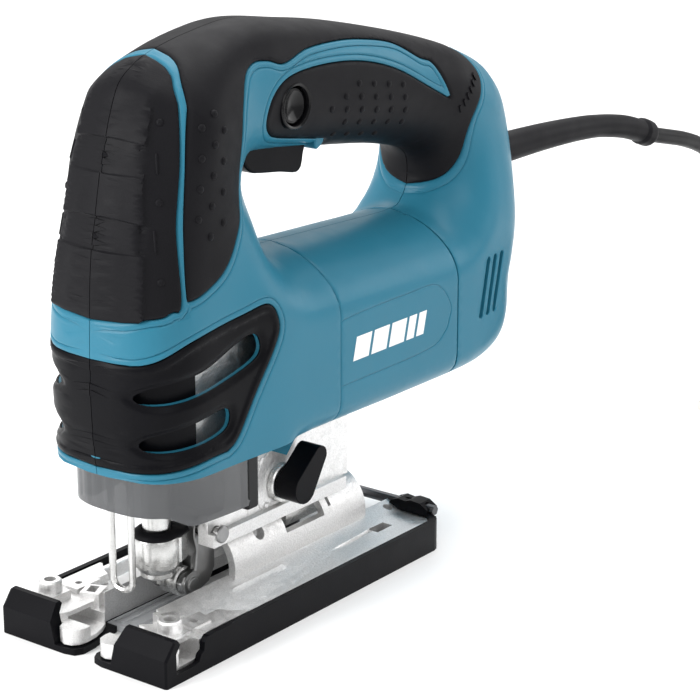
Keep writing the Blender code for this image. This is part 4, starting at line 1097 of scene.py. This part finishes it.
def make_base():
    beside_groove = (21.1, 21.3, 21.55, 22.9, 23.1, 23.3)
    xs = sorted([*np.arange(12, 30, 0.75), *np.arange(30, 35.6, 0.35), *beside_groove, 35.6])
    ys = sorted([*np.arange(-93.8, 44.6, 1.6), -61, -34.2, -33.4, 13.4, 13.9])
    deck = height_field(xs, ys, deck_height, 2.4)
    behind = prism([(10, 60), (10, 44.4), (12, 44.4), (28.5, 38.2), (31.8, 36.6), (34.4, 33.8), (35.4, 30.5),
                    (50, 30.5), (50, 60)], "Z", 0, 30)
    front_block = prism([(25.6, -94.5), (34.9, -94.5), (34.9, FRONT_BLOCK_END), (33.6, FRONT_BLOCK_END),
                         (30.2, -75.4), (25.6, -77.8)], "Z", 3, 11.6)
    windows = [block((20.9, 14.2, 0), (25.5, 23.3, 20)),
               turned("Z", (15.6, 33.6, 0), [(1.8, 0), (1.8, 20)], 24)]
    deck = carved(deck, [front_block], [behind, *windows])
    tongue_plan = [(35.4, -93), (35.4, -112.8), (13.8, -112.8), (12.6, -115.6), (9.5, -116.8), (6.8, -116.2),
                   (4.9, -114.2), (4.3, -111), (4.8, -106), (6.4, -101.2), (8.6, -97.4), (11.4, -94.6),
                   (11.9, -93)]
    tongue = prism(tongue_plan, "Z", 2.9, 8.3)
    step = prism([(35.4, -93), (35.4, -112.6), (16.5, -112.6), (14.8, -108.5), (14.4, -93)], "Z", 7, 10.6)
    tower = prism([(22.6, -99.6), (33.0, -99.6), (33.0, -109.8), (24.4, -110.4), (22.6, -108)], "Z", 8, 13.6)
    socket_block = prism([(12.6, -96.2), (19.4, -98.6), (22.4, -91.4), (15.6, -88.6)], "Z", 5, 13.2)
    facet = prism([(23.0, -96), (30.8, -96), (30.8, -87.2), (23.0, -84)], "Z", 8, 12.4)
    boss = turned("Z", (27.7, -104.4, 0), [(4.2, 8), (4.2, 17.4), (3.6, 18)], 32)
    cuts = [block((-1, -109, 4.4), (60, -98.4, 9.0)),
            block((30.2, -108.6, 4.4), (60, -98.8, 12.6)),
            turned("Z", (27.7, -104.4, 0), [(2.1, 9.2), (2.1, 20)], 24),
            turned("Z", (26.9, -91.2, 0), [(1.3, 7), (1.3, 20)], 20),
            prism([(15.2, -95.4), (18.3, -96.5), (20.4, -91.8), (17.3, -90.6)], "Z", 6.6, 20),
            block((0, -94.2, -1), (11.9, -57, 9))]
    side = carved(deck, [tongue, step, tower, socket_block, facet, boss], cuts)
    other = flipped(side)
    round_top = arc((0, SADDLE_Z), SADDLE_R, range(-36, 217, 6))
    inner = arc((0, SADDLE_Z), SADDLE_BORE_R, range(216, -37, -6))
    saddle = prism(round_top + inner, "Y", -56, 20)
    top_cut = block((-16, -26, 20.4), (16, -4, 35))
    slots = [turned("X", (0, -39.5, 24.6), [(2.6, -20), (2.6, 20)], 24),
             prism([(-0.6, 27.0), (1.0, 27.0), (1.0, 22.6), (-0.6, 22.6)], "X", -20, 20)]
    saddle = carved(saddle, (), [top_cut, *slots])
    piece("base_deck_left", side, "cast", "base", "base_plate", width=0.45, angle=40)
    piece("base_deck_right", other, "cast", "base", width=0.45, angle=40)
    piece("base_saddle", saddle, "cast", "base", width=0.5, angle=40)


def make_cover():
    outer = [(38, -96), (38, 33), (37.4, 35.4), (35.6, 37.4), (32, 38.6), (12, 46.2)]
    inner = [(35.8, -97), (35.8, 31.5), (35.2, 33.6), (33.6, 35.2), (30.8, 37.2), (12, 44.7)]
    walls = prism(outer + [(x, y) for x, y in inner[::-1]], "Z", 0, 12)
    sill = prism([(-114, 0), (-95, 0), (-95, 12), (-97.4, 11.6), (-98.6, 10.2), (-99.0, 7.4), (-100.6, 6.4),
                  (-101.6, 4.2), (-103.5, 3.7), (-114, 3.7)], "X", 35.8, 38)
    hood_side = [(-118, 0), (-118, 9.9), (-113.4, 15.3), (-111.6, 15.5), (-110.8, 14.4), (-112.9, 11.6),
                 (-112.9, 0)]
    rows = []
    for x, lean in ((12.4, 0.24), (37.2, 0.0), (38, 0.0)):
        shrink = 0.5 if x == 38 else 0.0
        rows.append([(x + lean * z, y + (shrink if y < -117 else 0), max(0.0, z - (shrink if z > 9 else 0)))
                     for y, z in hood_side])
    hood = loft(rows)
    lip_plan = [(38, 30), (37, 34), (32, 38.4), (12, 46), (12.4, 17), (12.4, -58), (12, -94), (6.5, -94),
                (5.5, -100), (3.4, -108), (3.0, -114.2), (4.6, -117.0), (8.5, -118), (36.8, -118),
                (38, -117.2), (38, -96)]
    lip = prism(lip_plan, "Z", 0, 2.3)
    side = carved(walls, [sill, hood, lip], ())
    other = flipped(side)
    piece("base_cover_left", side, "black", "base", "cover_plate", width=0.7, segments=3, angle=28)
    piece("base_cover_right", other, "black", "base", width=0.7, segments=3, angle=28)
    insert = prism([(0.9, -63), (0.9, -93), (2.2, -93.8), (11.3, -93.8), (11.3, -57.8), (-11.3, -57.8),
                    (-11.3, -93.8), (-2.2, -93.8), (-0.9, -93), (-0.9, -63)], "Z", 0.1, 2.6)
    ribs = [block((x - 0.7, -92, 2.4), (x + 0.7, -58.6, 3.4)) for x in (-9.2, -5.6, 5.6, 9.2)]
    piece("splinter_guard", carved(insert, ribs), "smoked_pale", "base", "splinter_insert", width=0.25,
          angle=40)


# --- blade drive and lower gear housing ---------------------------------------------------
def make_clamp():
    centre = (0, ROD_Y, 0)
    profile = [(3.4, 18.4), (5.6, 18.4), (6.0, 18.9), (6.0, 20.4), (6.6, 20.9), (7.6, 22.2), (8.0, 23.4),
               (8.0, 32.6), (7.6, 33.3), (5.5, 33.3)]
    sleeve = turned("Z", centre, profile, 56)
    lug = prism([(-0.2, -75.6), (1.6, -69.4), (5.6, -70.0), (7.6, -75.2), (6.2, -79)], "Z", 23.8, 32.8)
    stem = turned("Z", centre, [(1.9, 15.6), (1.9, 19)], 20)
    cuts = [turned("Z", centre, [(5.35, 26), (5.35, 40)], 40),
            block((-0.9, ROD_Y - 4.2, 12), (0.9, ROD_Y + 3.6, 27))]
    piece("clamp_body", carved(sleeve, [lug, stem], cuts), "steel", "clamp", "clamp_sleeve", width=0,
          angle=30)
    edge = arc((0, ROD_Y), 8.3, range(95, 341, 12))
    edge += [(8.0, -80.6), (7.9, -75.6), (6.9, -70.6), (4.4, -68.6), (1.2, -69.0), (-0.6, -71.2)]
    rows = []
    for share, level in ((1.0, 33.35), (1.03, 34.0), (0.98, 34.9), (0.86, 35.8), (0.72, 36.3)):
        rows.append([(x * share, ROD_Y + (y - ROD_Y) * share, level) for x, y in edge])
    cap = carved(loft(rows), (), [turned("Z", centre, [(5.35, 30), (5.35, 40)], 40)])
    piece("clamp_rubber", cap, "soft", "clamp", "clamp_cap", width=0.2, angle=40)


def make_roller():
    wheel = turned("X", ROLLER_CENTRE, [(4.6, -3.9), (5.3, -3.4), (5.3, -1.2), (4.2, -0.9), (4.2, 0.9),
                                        (5.3, 1.2), (5.3, 3.4), (4.6, 3.9)], 48)
    bore = turned("X", ROLLER_CENTRE, [(1.8, -6), (1.8, 6)], 24)
    piece("guide_roller", carved(wheel, (), [bore]), "steel", "roller", "roller", width=0.15, angle=35)
    for side, word in ON_SIDES:
        profile = [(4.4, 6.9), (4.4, 7.7), (2.7, 7.7), (2.4, 8.5), (0.6, 8.5)]
        head = turned("X", ROLLER_CENTRE, [(radius, side * level) for radius, level in profile], 40)
        piece(f"roller_head_{word}", head, "pressed", "yoke", width=0.2, angle=30)


def make_dust_cover():
    """Smoked shroud: one sheet bent round the nose, thicker at its top bead, with black rails."""
    half = smooth_path([(0, -103.2), (9, -102.6), (16.6, -99.8), (21.0, -94.8), (23.6, -87), (25.0, -78),
                        (25.8, -68), (26.0, -60.5)], 1.0)
    plan = np.array([(-x, y) for x, y in half[::-1][:-1]] + [tuple(p) for p in half])
    rows = []
    for x, y in plan:
        foot = 49.5 - 5.0 * float(smoothstep(-98, -86, y))
        from_ridge = abs(((x + 40) / 5.4) % 1 - 0.5)
        flute = 0.35 * float(1 - smoothstep(0.25, 0.5, from_ridge)) if abs(x) < 22 else 0.0
        out = np.array((x, y)) - np.array((0.0, -70.0))
        out = out / np.linalg.norm(out)
        row = []
        for level, grow in ((foot, -1.7), (foot, 0.2), (foot + 1.8, 0.35), (foot + 2.6, flute),
                            (66.5, flute), (67.6, 0.5), (72, 0.5), (72, -1.7)):
            row.append((x + out[0] * grow, y + out[1] * grow, level))
        rows.append(row)
    piece("dust_shroud", loft(rows), "smoked", "cover", "dust_cover", width=0, angle=50)
    for side, word in ON_SIDES:
        rail = prism([(side * 22.4, -61.4), (side * 26.3, -61.4), (side * 26.3, -55.8), (side * 24.4, -54.4),
                      (side * 22.4, -55.8)], "Z", 42.6, 63.4)
        piece(f"shroud_rail_{word}", rail, "gloss_black", "cover", width=0.9, segments=3, angle=30)


def surface_bar(name, corners, rise, kind, side=1, spacing=0.8):
    """Thin raised plate on the body surface, with the given (y, z) corners."""
    loop = polygon(corners, spacing)
    low, high = loop.min(0), loop.max(0)
    grid = np.array([(y, z) for y in np.arange(low[0], high[0], 1.1)
                     for z in np.arange(low[1], high[1], 1.1)])
    grid = grid[signed(grid, loop) < -0.5]
    node = "motor_housing" if kind == "print" else "grip_pad_left"
    return skin(name, [loop], grid, lambda p: both(p, (loop, True)), at_depth(-rise), at_depth(0.6), kind,
                "body", node, side < 0)


def make_side_details():
    """Plain slanted bars on the side panel, ribs at the heel of the handle, and the lock button."""
    for side, word in ON_SIDES[::-1]:
        for k, wide in enumerate((9.0, 9.0, 9.0, 4.5, 4.5)):
            start = -9.5 + (0, 10.6, 21.2, 31.8, 37.9)[k]
            corners = [(start, 84.6), (start + wide, 84.6), (start + wide + 2.2, 93.2), (start + 2.2, 93.2)]
            surface_bar(f"panel_bar_{word}_{k + 1}", corners, 0.06, "print", side)
        for k in range(6):
            share = k / 5
            centre = Vector((68.9 + 11.0 * share, 161.6 + 10.4 * share))
            along = Vector((0.42, -0.91)) * 1.25
            across = Vector((0.74, 0.68)) * 0.5
            ways = (-along - across, along - across, along + across, -along + across)
            corners = [tuple(centre + way) for way in ways]
            surface_bar(f"heel_rib_{word}_{k + 1}", corners, 0.45, "soft", side, 0.4)
    seat = float(width_at(np.array([LOCK_SPOT]))[0])
    spot = (0, *LOCK_SPOT)
    profile = [(8.1, seat - 3.2), (8.1, seat + 0.25), (7.7, seat + 0.6), (7.0, seat + 0.3),
               (6.75, seat - 0.3)]
    bore = turned("X", spot, [(6.75, seat - 9), (6.75, seat + 5)], 56)
    ring = carved(turned("X", spot, profile, 56), (), [bore])
    piece("lock_ring", ring, "gloss_black", "body", width=0.1, angle=35)
    button = turned("X", spot, [(6.3, 14.2), (6.4, seat - 1.6), (6.0, seat - 0.9), (5.2, seat - 0.75),
                                (3.6, seat - 1.5), (0.4, seat - 2.1)], 56)
    piece("lock_cap", button, "gloss_black", "lock", "lock_button", width=0.1, angle=35)


def make_trigger():
    """Finger lever with a hollowed face, and the lip of the handle that hooks down behind it."""
    side = [(-41.5, 166.4), (-42.4, 162.5), (-40.4, 158.6), (-36.4, 154.6), (-30, 153.2), (-20, 151.8),
            (-12.4, 150.2), (-10, 150.6), (-8.6, 152.2), (-7.7, 156), (-7.3, 161.4), (-20, 163.2),
            (-32, 165.6)]
    lever = prism(closed_loop(side, 1.6), "X", -8.8, 8.8)
    piece("trigger_lever", lever, "black", "trigger", "trigger", width=1.1, segments=4, angle=40)
    hook = [(-5.6, 165.5), (-5.9, 162), (-6.0, 159.4), (-5.4, 158.0), (-4.2, 157.8), (-1.6, 159.4),
            (-0.6, 161.2), (0.5, 164.5), (-2, 166)]
    lip = prism(closed_loop(hook, 0.8), "X", -12.5, 12.5)
    piece("handle_lip", lip, "blue", "body", width=0.9, segments=4, angle=40)


def make_shade_sheet():
    """Black sheet behind the front of the side vents: painted shade, standing in for the dark inside seen
    through the slots.
    """
    region = rect(-112, -86.5, 68, 112, 2.0)
    points = scatter(2.6, (-112, 68), (-86, 112))

    def keep(p):
        return both(p, (OUTER, True), (region, True))

    for side, mirrored in SIDES:
        # painted shade: a black sheet deep under the vent slots makes them read dark
        skin(f"vent_shade_sheet_{side}", [OUTER, region], points, keep, at_depth(4.6), at_depth(5.8), "black",
             "body", f"housing_{side}", mirrored)


def make_clip():
    """Thin strap over the hex wrench, humped where the wrench passes under it."""
    side = [(13.8, 11.0), (13.8, 12.6), (15.0, 14.2), (18.0, 15.4), (21.5, 15.0), (24.0, 15.9), (28.5, 15.6),
            (31.8, 13.6), (31.8, 11.0)]
    strap = prism(side, "Y", 36.6, 43.4)
    way = turned("X", (0, 40, 12.9), [(2.35, 0), (2.35, 40)], 16)
    piece("wrench_strap", carved(strap, (), [way]), "black", "base", "wrench_clip", width=0.6, segments=3,
          angle=25)


def make_gear_marks():
    """Raised marks on the flank of the gear housing, round the lever, and the pivot pins of its foot."""
    for k, (y, z) in enumerate(((-34.8, 55.6), (-39.8, 52.0), (-43.2, 43.4), (-37.6, 34.6))):
        dot = turned("X", (0, y, z), [(1.3, FLANK_X - 0.4), (1.3, FLANK_X + 0.5), (0.7, FLANK_X + 0.8)], 20)
        piece(f"position_dot_{k + 1}", dot, "cast", "body", width=0, angle=30)
    track = [(FLANK_X, y, z) for y, z in arc((-30, 42.5), 13.2, range(100, 236, 6))]
    tube_object("position_track", track, 0.45, "cast", "body")
    frame_plan = [(-47.0, 36.4), (-43.4, 36.4), (-43.4, 45.6), (-47.0, 45.6)]
    inner_plan = [(-46.3, 37.2), (-44.1, 37.2), (-44.1, 44.8), (-46.3, 44.8)]
    mark = carved(prism(frame_plan, "X", FLANK_X - 0.5, FLANK_X + 0.55), (),
                  [prism(inner_plan, "X", FLANK_X + 0.1, FLANK_X + 3)])
    piece("flank_mark", mark, "cast", "body", width=0.15, angle=30)
    hub = pipe("X", LEVER_PIVOT, 7.3, 3.4, FLANK_X, 17.2, 0.5, 44)
    piece("lever_seat", hub, "steel", "body", width=0.2, angle=35)
    for side, word in ON_SIDES:
        head = turned("X", YOKE_PIVOT, [(3.2, side * 17.0), (3.2, side * 17.6), (2.7, side * 18.0)], 32)
        piece(f"pivot_head_{word}", head, "pressed", "body", width=0.1, angle=35)


# --- everything in place ---------------------------------------------------------------
CARRIED = [
    ("gear_housing", "cast", 0.5), ("clamp_shoe", "steel", 0.3), ("base_bolt", "dark_steel", 0.4),
    ("hex_wrench", "dark_steel", 0.2), ("lower_bush", "bronze", 0.3),
    ("upper_bush", "bronze", 0.3), ("field_core", "dark_steel", 0.4), ("armature_shaft", "steel", 0.4),
    ("armature_core", "copper", 0.5), ("commutator", "copper", 0.3), ("cooling_fan", "black", 0.4),
    ("front_bearing", "steel", 0.4), ("rear_bearing", "steel", 0.4), ("pinion", "steel", 0.1),
    ("brush_holder_left", "brass", 0.3), ("brush_holder_right", "brass", 0.3),
    ("carbon_brush_left", "carbon", 0.2), ("carbon_brush_right", "carbon", 0.2),
    ("drive_gear", "steel", 0.15), ("gear_spindle", "steel", 0.3), ("slider", "steel", 0.3),
    ("counterweight", "dark_steel", 0.5),
    ("roller_yoke", "pressed", 0.5), ("yoke_pin", "steel", 0.4),
    ("roller_pin", "steel", 0.4), ("wire_guard", "steel", 0),
    ("orbital_lever", "black", 1.0), ("orbital_shaft", "steel", 0.4),
    ("switch", "black", 0.5),
    *((f"housing_screw_{k}", "dark_steel", 0.4) for k in range(1, 6)),
]


def dress_cad():
    """CAD pieces kept as they are made, with rounded edges and their finish."""
    for node, kind, width in CARRIED:
        refined(node, kind, width)



make_studio()
make_cord()
make_shells()
make_motor_section()
make_pads()
make_studs()
make_base()
make_cover()
make_clamp()
make_roller()
make_dust_cover()
make_gear_marks()
make_side_details()
make_trigger()
make_shade_sheet()
make_clip()
dress_cad()
